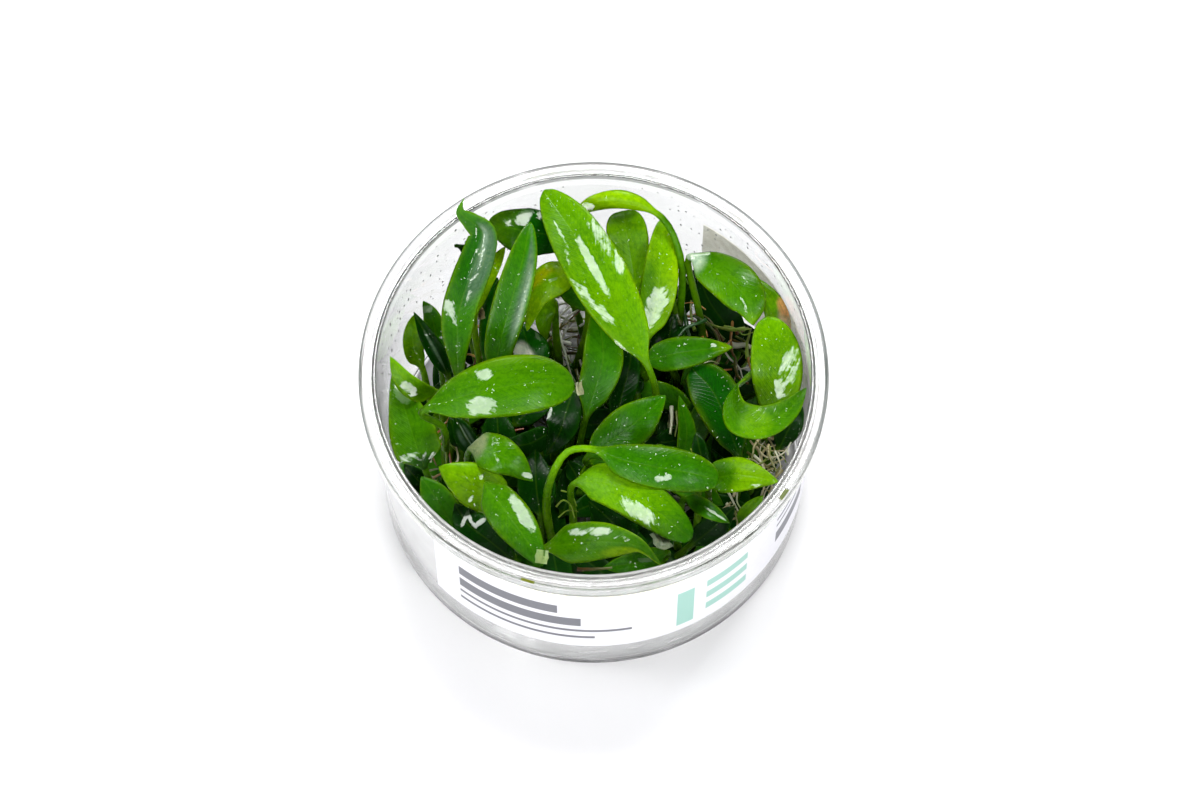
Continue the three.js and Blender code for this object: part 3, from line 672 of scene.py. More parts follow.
def leafMesh(leaf, footZ, bladeSteps, stalkSteps):  # its rings, and the tint and skin of each point
    p, leaf = leafPiece, {**leafUsual, **leaf}
    half, belly = leaf["half"], leaf["belly"]
    spine = [Vector((*leaf["foot"], footZ))] + [seenAt(point) for point in leaf["path"]]
    curve = SmoothPath(spine)
    bladeStart = (leaf["stalk"] - 1) / (len(spine) - 1)
    places = [bladeStart * i / stalkSteps for i in range(stalkSteps)]
    places += [bladeStart + (1 - bladeStart) * i / bladeSteps for i in range(bladeSteps)]
    places.append(0.9995)  # short of the end, so that the last ring has a width
    middle = bladeStart + (1 - bladeStart) * 0.5
    sideAtMiddle = sight.cross(curve.directionAt(middle)).normalized()
    sides = {}

    def carry(targets):  # the side direction, carried along the spine without turning about it
        side, at = sideAtMiddle.copy(), middle
        for u in targets:
            steps = max(int(abs(u - at) * p["carrySteps"]), 1)
            for i in range(1, steps + 1):
                tangent = curve.directionAt(at + (u - at) * i / steps)
                side = (side - tangent * side.dot(tangent)).normalized()
            at = u
            sides[u] = side.copy()

    carry([u for u in places if u >= middle])
    carry([u for u in reversed(places) if u < middle])
    rings, tints, skins = [], [], []
    travelled, previous = 0.0, None
    lower = list(reversed(across[1:-1]))
    for u in places:
        t = max((u - bladeStart) / (1 - bladeStart), 0)
        center, tangent = curve.pointAt(u), curve.directionAt(u)
        if t > 0 and previous is not None:
            travelled += (center - previous).length
        previous = center
        turn = math.radians(leaf["roll"] + leaf["twist"] * (t - 0.5))
        side = Quaternion(tangent, turn) @ sides[u]
        normal = side.cross(tangent).normalized()
        bulge = math.sin(math.pi * t ** (math.log(0.5) / math.log(belly))) if t > 0 else 0
        width = max(half * max(bulge, 0) ** leaf["root" if t < belly else "blunt"], 0.001)
        opened = smoothStep(0, p["opening"], t)
        sheath = 1 + p["sheath"] * (1 - u / bladeStart) ** 2 if u < bladeStart else 1
        radius = p["stalkRadius"] * (1 - p["stalkTaper"] * t) * sheath
        radius *= 1 - smoothStep(0.9, 1, t) * p["tipThin"]
        lift = p["edgeWave"] * math.sin(p["waves"] * t + half)
        tipFade = smoothStep(0, p["tipFade"], 1 - t)
        ring = []
        for i, s in enumerate(across + lower):
            upper = i < len(across)
            angle = math.acos(s) if upper else -math.acos(s)
            skinDepth = p["thickness"] * 0.5 * math.sqrt(max(1 - s * s, 0)) * tipFade
            ridge = math.exp(-((s * width / p["ribWidth"]) ** 2)) * tipFade
            flatUp = skinDepth - p["groove"] * ridge if upper else -skinDepth - p["rib"] * ridge
            flatUp += leaf["cup"] * width * s * s + lift * s ** 3
            out = max(width, radius) * s * opened + math.cos(angle) * radius * (1 - opened)
            up = flatUp * opened + math.sin(angle) * radius * (1 - opened)
            ring.append(center + side * out + normal * up)
            color = leafTint(leaf, t, s, u / bladeStart if u < bladeStart else 1)
            tints.append((*color, leaf["damp"]))
            aside = s * width if opened > 0.05 else 5.0  # a stalk has no midrib
            skins.append((aside, travelled, poolDepth(leaf, ring[-1])))
        rings.append(ring)
    return rings, tints, skins


def poolDepth(leaf, place):  # 1 in the middle of a pool of water, 0 at its edge, and below that outside it
    right, up, height = seenFrom(place)
    depth = -1
    for x, y, long, wide, turn, *most in leaf["pools"]:
        c, s = math.cos(math.radians(turn)), math.sin(math.radians(turn))
        along, aside = (right - x) * c + (up - y) * s, (up - y) * c - (right - x) * s
        inside = 1 - (abs(along / long) ** 3 + abs(aside / wide) ** 3) ** (1 / 3)
        depth = max(depth, min(inside, *most) if most else inside)
    return depth


def leafTint(leaf, t, s, rise):  # t and s: along and across the blade; rise: along the stalk
    color = tones[leaf.get("body", leaf["tone"])]
    stem = tones[leaf.get("stem", "stalk")]
    if t == 0:
        return blendColor(stem, color, 0.55 * rise if "stem" not in leaf else 0.2)
    color = blendColor(stem, color, smoothStep(0, 0.16, t) * 0.6 + 0.4)
    # painted shade: one half of the blade, across the midrib, is painted lighter than the other
    color = [part * (1 + leafPiece["lean"] * s) for part in color]
    edge = tones["medium" if leaf["tone"] == "dark" else "lime"]
    color = blendColor(color, edge, abs(s) ** 9 * 0.35)
    if "tip" in leaf:
        tone, start = leaf["tip"]
        color = blendColor(color, tones[tone], smoothStep(start, 1, t))
    for along, side, long, wide, tone, strength in leaf["spots"]:
        distance = math.hypot((t - along) / long, (s - side) / wide)
        color = blendColor(color, tones[tone], (1 - smoothStep(0.6, 1.1, distance)) * strength)
    return color


def pascal(name):
    head, *rest = name.split("_")
    return head + "".join(word.capitalize() for word in rest)


def leafValues(tints, skins):
    return {"tint": ("FLOAT_COLOR", tints), "skin": ("FLOAT_VECTOR", skins)}


def makeLeaf(node, leaf):
    p = leafPiece
    rings, tints, skins = leafMesh(leaf, p["footHeight"], p["bladeSteps"], p["stalkSteps"])
    points = [point for ring in rings for point in ring]
    piece = makePiece(
        pascal(node), points, skinRings(rings), [leafSkin], values=leafValues(tints, skins),
    )
    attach(piece, "root")
    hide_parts(node)
    return piece


leaves = {
    "leaf_centre_long": dict(
        foot=(12.4, 1), half=6.3, belly=0.54, blunt=0.52, cup=0.12, tone="bright",
        path=[(13.3, -5, 30), (12, 0, 38), (7.8, 8.5, 43), (1.9, 19, 47.5), (-4.6, 30, 51),
              (-10.6, 38.5, 51.5)],
        pools=[(-6.85, 29.2, 3.6, 0.5, -60, 0.3), (-4, 22.2, 3.2, 0.5, -54, 0.3),
               (0, 14.4, 6.6, 1.0, -46, 0.3), (-0.4, 22.8, 6.8, 0.9, -62, 0.4),
               (2.6, 26.6, 6.4, 1.5, -57, 0.1), (5.9, 5.2, 2.3, 0.5, -50, 0.1)],
    ),
    "leaf_back_arched": dict(
        foot=(16.5, 16), stalk=4, half=2.4, belly=0.5, roll=-30, cup=-0.5, tone="yellow", stem="medium",
        tip=("lime", 0.6),
        path=[(18.3, 12, 27), (18.4, 24.5, 42), (14.6, 32.6, 47.5), (7, 35.9, 50), (0.5, 35.4, 48.5),
              (-4.5, 33.3, 45)],
        pools=[(-1.5, 35, 1.4, 0.8, 0)],
    ),
    "leaf_back_olive": dict(
        foot=(6, 20), half=4.5, belly=0.6, root=0.5, blunt=0.3, cup=0.1, tone="olive",
        path=[(8, 8, 24), (9, 15, 33), (8, 24, 39), (7, 30, 43), (6.4, 34.2, 44)],
        spots=[(1, 0, 0.2, 1.4, "dark", 0.6)],
    ),
    "leaf_back_bright": dict(
        foot=(10, 19), half=4, belly=0.5, root=0.6, blunt=0.65, tone="bright", body="fresh",
        path=[(11, 2, 24), (11.2, 6, 30), (13.2, 14, 36), (14.4, 23, 41), (14.3, 32.4, 44)],
        pools=[(12.6, 13.2, 5, 2.0, 62, 0.3)],
        spots=[(0.6, 0.9, 0.5, 0.5, "yellow", 0.8), (0.35, -0.6, 0.4, 0.6, "middle", 0.7)],
    ),
    "leaf_back_dark": dict(
        foot=(2.5, 20.5), half=5.2, belly=0.55, blunt=0.5, cup=-0.2, tone="dark", body="deep",
        tip=("bright", 0.55),
        path=[(1.5, 13, 26), (-3, 25.5, 36), (-9, 28.8, 42.5), (-15.5, 30, 45.5), (-22.2, 32, 44.5)],
        pools=[(-15.4, 32.2, 4.4, 0.36, 6, 0.5), (-14, 33.3, 4.4, 0.34, 7, 0.4),
               (-15.6, 31.2, 3, 0.3, 4, 0.4), (-12.4, 34.4, 2.6, 0.3, 6, 0.4)],
    ),
    "leaf_back_narrow": dict(
        foot=(21, 13.4), half=1.3, cup=0.2, tone="dark",
        path=[(19.3, 6, 22), (17, 14, 31), (16.2, 21, 36), (16.2, 28, 39)],
    ),
    "leaf_curled_tip": dict(
        foot=(-26, 6.2), half=3.9, belly=0.38, root=0.45, blunt=1.1, cup=0.1, tone="medium",
        tip=("middle", 0.78),
        path=[(-26.8, -12, 20), (-28, -5, 29.5), (-29, 4, 37), (-28.5, 13, 42), (-26.6, 19, 45.5),
              (-24.4, 25, 48.5), (-23.6, 29.6, 51), (-26, 32, 53.2), (-28.3, 34, 55.2),
              (-27.6, 36.8, 57.4)],
        pools=[(-30.3, 12.4, 2.7, 1.2, 102, 0.2), (-25, 20, 4.6, 0.3, 74, 0.2),
               (-23.5, 25.5, 4, 0.3, 84, 0.3), (-24.6, 27, 3.6, 0.26, 96, 0.2),
               (-26.6, 17, 3.4, 0.26, 74, 0.1), (-25.9, 22.6, 3, 0.24, 76, 0.1)],
        # its grey-green patches are painted sheen
        spots=[(0.5, 0.1, 0.24, 1.2, "deep", 0.7), (0.5, 0.4, 0.22, 0.6, "grey", 0.7),
               (0.58, 0.2, 0.14, 0.2, "frost", 0.25)],
    ),
    "leaf_left_behind": dict(
        foot=(-24.5, 7.3), half=2.4, belly=0.5, root=0.5, blunt=0.6, cup=-0.1, tone="medium", body="deep",
        path=[(-24, -6, 18), (-23, 1, 22), (-22.2, 8, 26), (-21.6, 14, 27.5), (-20.4, 20, 28.5)],
    ),
    "leaf_left_dark_upright": dict(
        foot=(-19.5, 11.4), half=3.9, belly=0.5, root=0.5, blunt=0.6, cup=0.1, tone="medium",
        path=[(-20.5, -8, 18), (-20.8, -3, 27), (-20, 5.5, 36.5), (-17.6, 14.5, 43), (-15, 24, 48),
              (-13.4, 31.8, 50)],
        # its grey-green patches are painted sheen
        spots=[(0.62, 0.5, 0.34, 0.3, "grey", 0.8), (0.5, 0.75, 0.3, 0.12, "frost", 0.5)],
    ),
    "leaf_left_thin_yellow": dict(
        foot=(-22, 9.4), half=1.9, cup=0.2, tone="yellow",
        path=[(-24.5, 4, 22), (-25.3, 11, 28), (-24, 17, 33), (-21, 23, 37), (-18.7, 26.6, 38)],
    ),
    "leaf_hooked_yellow": dict(
        foot=(-4, 20.3), half=3.9, belly=0.4, roll=8, cup=-0.12, tone="yellow",
        path=[(-1, 12, 26), (-3, 20, 36), (-8, 20, 39.5), (-12, 16.5, 37), (-14.2, 8.6, 31)],
        pools=[(-8.5, 19.6, 1.3, 0.4, 20)],
        spots=[(0.5, 0.1, 0.25, 0.6, "olive", 0.6), (0.5, 0.5, 0.2, 0.3, "gold", 0.7)],
    ),
    "leaf_centre_grey": dict(
        foot=(-7.5, 19.6), half=2.1, cup=-0.2, tone="olive",
        path=[(-8, 8, 20), (-8.6, 15, 29), (-10.4, 12, 28.5), (-10.4, 6, 23)],
    ),
    "leaf_centre_wet": dict(
        foot=(-14, 15), half=4, cup=-0.1, tone="dark", body="deep",
        path=[(-12.5, -3, 18), (-11, 0, 22), (-13.5, 5, 26), (-15.5, 10.4, 27)],
        pools=[(-15.5, 4.6, 1.7, 1.3, 0), (-11.8, 7.4, 1.2, 0.4, -60)],
        # its white patch is a painted highlight
        spots=[(0.4, -0.5, 0.3, 0.6, "rootWhite", 0.8)],
    ),
    "leaf_centre_upright": dict(
        foot=(-4, -4.2), half=4.4, belly=0.5, root=0.6, cup=0.1, tone="bright", body="medium",
        path=[(-3, -16, 18), (-1.8, -10.5, 27), (0.2, -4, 33), (2, 2.5, 37), (1.6, 8, 39), (0, 13.5, 39.5)],
    ),
    "leaf_wall_olive": dict(
        foot=(-32.2, 0), half=2.2, root=0.6, blunt=0.6, cup=0.2, tone="olive",
        path=[(-35, -5, 18), (-36.3, 0.5, 25), (-38, 4, 29.5), (-38.5, 8, 33), (-37.9, 12.2, 35)],
    ),
    "leaf_left_folded": dict(
        foot=(-32.3, -2.2), half=2, cup=0.5, tone="dark",
        path=[(-31, -8, 18), (-30.8, -1.5, 26), (-33, 3.3, 31), (-35.6, 8, 35), (-38.2, 12.6, 40)],
        # its grey patch is painted sheen
        pools=[(-34.9, 6.6, 3, 0.3, -62, -0.1)], spots=[(0.45, 0, 0.3, 0.25, "grey", 0.9)],
    ),
    "leaf_left_glossy_tip": dict(
        foot=(-28, 4.4), half=2.2, cup=0.1, tone="medium",
        path=[(-31.5, -4, 18), (-32.4, 2, 25), (-33.5, 8, 30), (-34.5, 12, 33), (-36.2, 15, 34.5)],
        pools=[(-35.4, 13.3, 1.1, 0.9, 0)],
    ),
    "leaf_left_small_yellow": dict(
        foot=(-32.4, -4.6), half=2.5, roll=-10, cup=0.2, tone="yellow", body="olive",
        path=[(-32, -10, 20), (-33, -4.6, 33), (-37, -4.2, 40), (-40.6, -1.4, 44.5), (-43.2, 3.2, 47.5)],
        pools=[(-39.2, -3.6, 1.9, 1.0, -40, 0.2)], spots=[(0.3, 0.2, 0.4, 0.9, "middle", 0.5)],
    ),
    "leaf_wall_broad": dict(
        foot=(-33, -13), half=5.2, belly=0.34, root=0.4, cup=0.12, tone="medium", body="middle",
        path=[(-34, -25, 22), (-35.8, -20.6, 31.5), (-37.8, -15, 35.3), (-40, -8, 37.3),
              (-42.8, -0.3, 39.3)],
        pools=[(-40.6, -4.6, 2.4, 1.5, -70), (-37.2, -18, 3.4, 0.9, 6, 0)],
        spots=[(0.06, 0, 0.14, 1.2, "dark", 0.8)],
    ),
    "leaf_left_horizontal": dict(
        foot=(-32.7, -7.2), stalk=4, half=6.5, belly=0.56, blunt=0.42, cup=-0.12, tone="bright",
        body="middle",
        path=[(-31.5, -18, 22), (-32.2, -11.5, 38), (-36.6, -8.8, 43.5), (-30, -6, 46), (-20, -3.4, 48),
              (-11, -2.4, 47), (-4, -3, 43)],
        pools=[(-23.5, -0.6, 2.1, 1.2, 0), (-23.8, -7.3, 3.1, 1.8, 3)],
    ),
    "leaf_left_striped": dict(
        foot=(-29.5, -18.5), half=2.3, cup=0.5, tone="dark",
        path=[(-26.5, -26, 18), (-25, -18, 26), (-27.5, -13.5, 30), (-29.5, -9.5, 32)],
        # its grey-green stripes are painted sheen
        spots=[(0.5, -0.35, 0.3, 0.14, "grey", 1), (0.5, 0.1, 0.3, 0.1, "frost", 0.5),
               (0.5, 0.5, 0.3, 0.14, "grey", 1)],
    ),
    "leaf_front_left_hooked": dict(
        foot=(-25.5, -22.8), half=4.2, root=0.3, cup=-0.15, tone="bright", body="middle",
        path=[(-26, -27, 22), (-26.2, -16.6, 38), (-22.5, -16.8, 42), (-17.8, -19, 42.6),
              (-12.8, -23.2, 38)],
        pools=[(-14.3, -22, 1.4, 0.6, -10), (-20.6, -16.4, 2.6, 0.8, -80, 0.0)],
        spots=[(0.12, -0.2, 0.2, 1.0, "taupe", 0.8)],
    ),
    "leaf_front_left_yellow": dict(
        foot=(-20.5, -23.8), half=4.9, belly=0.5, root=0.35, cup=-0.1, tone="yellow", body="fresh",
        path=[(-19.5, -33.5, 20), (-18.6, -28.6, 31), (-22, -26, 35.5), (-27, -23.2, 38.5),
              (-33, -20.2, 39.5)],
        pools=[(-23.6, -22.2, 0.9, 0.5, 40), (-26, -27, 0.9, 0.5, 50)],
    ),
    "leaf_front_long": dict(
        foot=(-17, -25.2), stalk=5, half=4.35, belly=0.48, root=0.45, blunt=0.65, cup=-0.1, tone="bright",
        body="middle", tip=("medium", 0.5),
        path=[(-14.6, -33, 24), (-15.6, -29, 37), (-19.5, -25, 42.8), (-22.6, -24, 44.5),
              (-19.8, -28.2, 46.8), (-15.2, -34.2, 47.5), (-10.8, -41.3, 45)],
        pools=[(-15.2, -30.2, 4.7, 1.2, -60)],
    ),
    "leaf_front_twisted": dict(
        foot=(-10.5, -26.2), half=4.3, belly=0.28, root=0.5, roll=15, twist=70, cup=-0.1, tone="bright",
        body="middle",
        path=[(-11.5, -38.5, 26), (-10.6, -37.5, 36), (-4, -36.4, 40), (3.5, -36, 42.5), (9.5, -37, 43.5),
              (14.2, -40.9, 42)],
        pools=[(-0.5, -34, 4.6, 0.9, 2, 0.2), (5.4, -35, 2.2, 0.7, -20, 0.0)],
        spots=[(0.74, 0.7, 0.34, 0.45, "lime", 0.8)],
    ),
    "leaf_front_arched": dict(
        foot=(-7.5, -26.8), stalk=5, half=4.7, belly=0.55, root=0.45, blunt=0.35, cup=-0.15, tone="bright",
        body="medium", stem="fresh",
        path=[(-10, -30, 26), (-9, -22.5, 37.5), (-5.5, -17, 43), (-0.5, -16.4, 45), (6.5, -18.9, 46.5),
              (13.5, -20.3, 47), (20.5, -21.5, 46), (26.6, -23, 43)],
        pools=[(14.8, -22.6, 1.7, 0.7, 8, 0.4)],
    ),
    "leaf_front_broad": dict(
        foot=(-3.5, -27.5), half=4.9, belly=0.52, root=0.35, blunt=0.42, cup=-0.12, tone="bright",
        body="olive", tip=("medium", 0.5),
        path=[(-4.4, -30, 26), (-4.2, -23.9, 37), (3, -23.8, 41.5), (12, -28.6, 43), (20.8, -35.6, 40)],
        pools=[(9.7, -29.8, 4.6, 1.5, -33)],
    ),
    "leaf_centre_broad": dict(
        foot=(1, -2.4), half=4.8, belly=0.5, root=0.6, cup=-0.1, tone="medium",
        path=[(-0.5, -20, 22), (-1.5, -18.5, 30), (4, -14.5, 35.5), (9.8, -10, 39.5), (15.2, -5, 40)],
    ),
    "leaf_centre_dark_left": dict(
        foot=(-7, -5.4), half=3.7, cup=-0.1, tone="dark",
        path=[(-4.5, -12, 19), (-4.2, -4, 27.4), (-5.8, -8.5, 30.6), (-7.2, -13, 31), (-10, -17.6, 28)],
        pools=[(-9.4, -8.5, 1.9, 0.5, 80)],
    ),
    "leaf_centre_dark_low": dict(
        foot=(-13, -25.7), half=4.2, cup=0.1, tone="dark",
        path=[(-11, -36, 18), (-11.3, -31, 24), (-12.2, -24, 28), (-12.4, -16.5, 29)],
    ),
    "leaf_right_pointed": dict(
        foot=(13.2, 17.4), half=3.6, belly=0.4, cup=-0.1, tone="medium", tip=("yellow", 0.75),
        path=[(11, -1, 22), (10.4, 1.6, 29), (16, 3.5, 34), (23, 4.6, 36), (29.6, 5.2, 35.5)],
        pools=[(25.5, 5.6, 0.6, 0.4, 0)],
    ),
    "leaf_right_dark_round": dict(
        foot=(19.5, 14.3), half=4, blunt=0.55, cup=-0.1, tone="dark",
        path=[(17, 0, 20), (15.6, 2, 25), (16, 7, 29), (17, 12.2, 30)],
    ),
    "leaf_right_middle": dict(
        foot=(29.5, -13), half=5.2, belly=0.6, root=0.5, blunt=0.5, cup=0.1, tone="medium", body="deep",
        path=[(30.5, -26, 18), (31, -19.5, 25), (28.6, -11.5, 30), (25.2, -4, 32), (20.8, 0.8, 32.5)],
    ),
    "leaf_right_middle_low": dict(
        foot=(30.8, -10.5), half=3, cup=0.2, tone="medium",
        path=[(33.4, -25, 16), (33.8, -20, 20), (31.6, -14, 23), (30, -7, 24)],
    ),
    "leaf_right_ring": dict(
        foot=(34, -0.5), stalk=4, half=3.7, belly=0.5, cup=0.2, tone="bright", body="middle",
        path=[(36, -5, 26), (35.8, 0.5, 34), (33.2, -0.8, 38.5), (29.8, -4.5, 41.5), (31, -9.6, 44.5),
              (36, -10.8, 46.5), (41.4, -8.2, 48.5), (45.2, -3.4, 50)],
        # its pale patch in the middle is a painted highlight
        pools=[(36.4, -8.6, 2.6, 1.6, 10, -0.15)], spots=[(0.55, 0, 0.14, 1, "fresh", 0.5)],
    ),
    "leaf_wall_right_broad": dict(
        foot=(33.4, -3), half=5.6, belly=0.55, root=0.55, blunt=0.45, cup=0.12, tone="medium", body="olive",
        path=[(36.6, -14, 24), (38, -11, 32), (38.9, -4, 38.5), (38.6, 4, 43), (36.6, 11.6, 46)],
        pools=[(39.2, -3.7, 2, 0.7, 100), (41.4, 0.2, 4.6, 1.8, 76, 0.1)],
    ),
    "leaf_wall_orange": dict(
        foot=(34, 2), half=2.6, blunt=0.6, cup=0.1, tone="olive",
        path=[(38.5, -4, 22), (40, 3.5, 35), (39.6, 9.3, 41), (37.9, 14.6, 44), (34.6, 19.8, 45)],
        spots=[(0.34, 0.7, 0.26, 0.9, "tan", 1), (0.56, 0.8, 0.14, 0.6, "orange", 0.9),
               (0.12, 0.6, 0.2, 1, "tan", 0.8)],
    ),
    "leaf_back_right_bright": dict(
        foot=(24, 11.6), half=4.9, belly=0.5, root=0.6, cup=-0.15, tone="bright", body="middle",
        tip=("fresh", 0.8),
        path=[(23, 9, 24), (20.3, 24.3, 42.5), (24.5, 22.4, 46), (30, 18.7, 48), (33.2, 14.2, 47),
              (34, 9.8, 44)],
        pools=[(32.8, 19.2, 1.6, 0.4, -30, 0.1), (32, 14, 2.2, 0.4, -70, 0.3),
               (22.5, 24.6, 2.2, 0.7, 20, 0.1)],
        # its pale patch is painted sheen
        spots=[(0.06, 0.2, 0.17, 1.1, "frost", 0.8)],
    ),
    "leaf_front_right_tip": dict(
        foot=(21, -22.8), half=3.8, belly=0.4, root=0.4, cup=-0.1, tone="yellow", body="fresh",
        path=[(22, -32, 24), (23, -24, 37), (28.5, -22, 41), (33.5, -22.1, 44.5), (39.3, -23.4, 47)],
        pools=[(34.5, -24.2, 1.6, 0.3, 8, 0.1)], spots=[(0.14, 0, 0.36, 1.3, "medium", 0.85)],
    ),
    "leaf_front_right_narrow": dict(
        foot=(18.5, -24.5), half=1.9, cup=0.4, tone="medium",
        path=[(18, -33, 24), (19.5, -27, 34), (24, -29.2, 37), (29, -32.2, 36.5)],
        pools=[(25.6, -30, 2.8, 0.3, -33)],
    ),
    "leaf_low_left_wall": dict(
        foot=(-28, -21), stalk=2, half=3.6, cup=0.1, tone="medium",
        path=[(-28.5, -37, 18), (-31, -31, 26), (-34, -26, 30), (-36.6, -22.3, 31.5)],
    ),
    "leaf_low_left_front": dict(
        foot=(-15.5, -25.2), stalk=2, half=3.9, cup=0.1, tone="dark",
        path=[(-16, -41, 22), (-22, -36, 30), (-26.6, -32.4, 32), (-29.5, -28, 31.5)],
        pools=[(-27.4, -31.4, 2.3, 0.4, 68, 0.5), (-26, -31.6, 2.2, 0.45, -62, 0.5),
               (-24.4, -32.2, 1.8, 0.5, 34, 0.5)],
    ),
    "leaf_low_left_back": dict(
        foot=(-33.2, -10), stalk=2, half=2.4, cup=0.1, tone="dark",
        path=[(-34.5, -25, 18), (-37.3, -23, 26), (-40.3, -19.6, 29)],
    ),
    "leaf_low_right_wall": dict(
        foot=(32.8, -6), stalk=2, half=2.7, cup=0.1, tone="dark",
        path=[(38.8, -17, 26), (41, -13, 31), (42.6, -9.5, 34), (43.8, -5.5, 36)],
    ),
    "leaf_low_front_middle": dict(
        foot=(1, -28), stalk=2, half=4, cup=0.1, tone="dark",
        path=[(8, -37.5, 20), (4.5, -32.5, 26), (-1, -27.5, 29)],
    ),
    "leaf_low_front": dict(
        foot=(13, -27.6), stalk=2, half=2.6, cup=0.1, tone="medium",
        path=[(15.5, -38.5, 24), (9, -40.6, 29), (2, -41.6, 30)], pools=[(11, -40, 1.7, 0.5, 0)],
    ),
    "leaf_low_front_right": dict(
        foot=(16, -26), stalk=2, half=3, cup=0.1, tone="dark",
        path=[(20.5, -37, 20), (25.5, -33, 25), (30, -28.5, 28)],
    ),
    "leaf_low_right_yellow": dict(
        foot=(27, -17.2), stalk=2, half=2, cup=0.1, tone="olive",
        path=[(30.5, -33.5, 22), (33, -29.8, 28), (36, -26.2, 31)],
    ),
    "leaf_low_centre": dict(
        foot=(5, -1.2), stalk=2, half=2.9, cup=0.1, tone="dark",
        path=[(4.6, -12, 20), (6, -5, 26), (7.6, 1, 30), (8.2, 6.5, 31)],
    ),
    "leaf_low_centre_right": dict(
        foot=(13.8, 0.6), stalk=2, half=2, cup=0.1, tone="medium",
        path=[(18, -20, 20), (19.8, -13, 26), (18.2, -5, 29)],
    ),
    "leaf_low_back_right": dict(
        foot=(28.5, 8.4), stalk=2, half=4.1, cup=0.1, tone="dark",
        path=[(30, 3, 16), (28.5, 9, 22), (24.5, 15, 25), (22.5, 20, 27)],
    ),
    "leaf_low_left_middle": dict(
        foot=(-10, -7.5), stalk=2, half=2.8, cup=0.1, tone="dark",
        path=[(-8.5, -13, 21), (-14, -15.4, 25), (-20.5, -16, 27)],
    ),
}
leafPieces = [makeLeaf(node, leaf) for node, leaf in leaves.items()]
print("leaves made:", len(leafPieces))


# Rhizomes: creeping stems with thick roots over the floor of the cup, and small leaves low down

rhizomePiece = {
    "height": 6, "radius": 2.2, "rootRadius": 0.6, "scar": 2.6, "ridge": 0.25, "rootTaper": 0.4,
    "stemTone": "#6d7a24", "rootTone": "#c9b98a", "sproutSteps": (24, 8), "lowLeafSteps": (14, 4),
}
lowLeafPiece = {
    "reach": 42, "spacing": 5.8, "wall": 45, "heights": (8, 24), "lengths": (12, 19), "halves": (2.2, 4.0),
    "tones": ("dark", "dark", "dark", "medium"), "damp": 0.35, "cup": 0.1,
    "windows": [(-10.5, -2, 2, 14.5)],  # left, right, low and high, as seen: kept open
    "laid": {  # half width, and points as seen, of those that fill a gap
        "rhizome_back": [(2.6, [(15, 10, 16), (19, 15.5, 22), (21.8, 22, 27)])],
        "rhizome_right": [
            (3.2, [(23, 11, 15), (28.6, 8.6, 18), (34.6, 8.6, 20)]),
            (2.6, [(29, 1, 15), (33, 4.6, 18), (36.6, 9, 21)]),
            (3, [(21.6, 6, 12), (27, 3, 14), (33, 1.6, 16)]),
            (3, [(32, -22, 13), (36.8, -18, 16), (41.5, -13, 20)]),
            (2.8, [(30, -16, 12), (35.6, -12.6, 15), (41, -9, 18)]),
            (2.8, [(28, -31, 11), (33, -27.6, 14), (38, -22, 18)]),
        ],
    },
}
rhizomes = {  # line: x and y; roots: x, y and height; sprouts: half width, foot, and path as seen
    "rhizome_back_left": {
        "line": [[-27.6, 5], [-20, 11], [-12, 16]],
        "roots": [[[-20, 11, 5], [-27, 18, 3.4], [-25, 27, 2.9]]],
        "sprouts": [
            (1.2, [-22.6, 9], [[-26.5, 10, 22], [-27.6, 19, 32], [-27.2, 26, 41], [-29.6, 26.8, 45]]),
        ],
    },
    "rhizome_back": {
        "line": [[-8.5, 19], [3, 20.5], [17, 15.8], [30, 7.5]],
        "roots": [[[-6, 19.5, 5], [-11, 25, 3.6], [-10, 32, 2.9], [-3, 35.5, 2.9]],
                  [[3, 20.5, 5], [4, 28, 3.6], [-3, 30.5, 3.4]],
                  [[17, 15.8, 5], [21, 24, 3.2], [25, 30, 2.9]]],
        "sprouts": [],
    },
    "rhizome_left": {
        "line": [[-33.4, -15], [-32.3, -5], [-32, 1]],
        "roots": [[[-32.3, -5, 5], [-38, -3, 3.4], [-40.5, 4, 2.9]]],
        "sprouts": [
            (1.7, [-32.8, -11], [[-29, -24, 16], [-28.3, -17, 23], [-29.5, -13, 26.5], [-30.6, -9.5, 28]]),
            (2.2, [-33.2, -14.4], [[-28.5, -30, 18], [-29, -26, 23], [-32, -22, 25.5]]),
        ],
    },
    "rhizome_front_left": {
        "line": [[-30, -19.5], [-18, -25], [-6, -27], [3, -28.2]],
        "roots": [[[-18, -25, 5], [-24, -31, 3.2], [-19, -37, 2.9]],
                  [[-6, -27, 5], [-4, -34, 3.2], [3, -39, 2.9]]],
        "sprouts": [],
    },
    "rhizome_centre": {
        "line": [[-12, -8], [2, -2.2], [15.5, 1]],
        "roots": [[[2, -2.2, 5], [6, -10, 3.2], [2, -17, 2.9]]],
        "sprouts": [
            (2.3, [-11.4, -7.8], [[-12, -15, 18], [-14.5, -10.5, 21], [-19, -11.3, 23], [-24, -12, 24]]),
            (2, [-1, -3.2], [[-1.5, -24, 16], [-3, -23, 21], [-5.5, -19, 23]]),
            (1.8, [9, -0.6], [[8.5, -12, 18], [9.3, -5, 23], [8.6, -0.5, 25]]),
        ],
    },
    "rhizome_right": {
        "line": [[11, -29], [22, -22.2], [30.6, -11], [34.5, 3.5]],
        "roots": [[[22, -22.2, 5], [28, -28, 3.2], [33, -25, 2.9]],
                  [[30.6, -11, 5], [37, -10, 3.4], [40, -3, 2.9]]],
        "sprouts": [
            (1.7, [25, -19.3], [[24.5, -29, 18], [24, -21.5, 28], [22.5, -16.5, 32], [21.8, -12.8, 33]]),
        ],
    },
}


def stemLine(rhizome):
    return [(x, y, rhizomePiece["height"]) for x, y in rhizome["line"]]


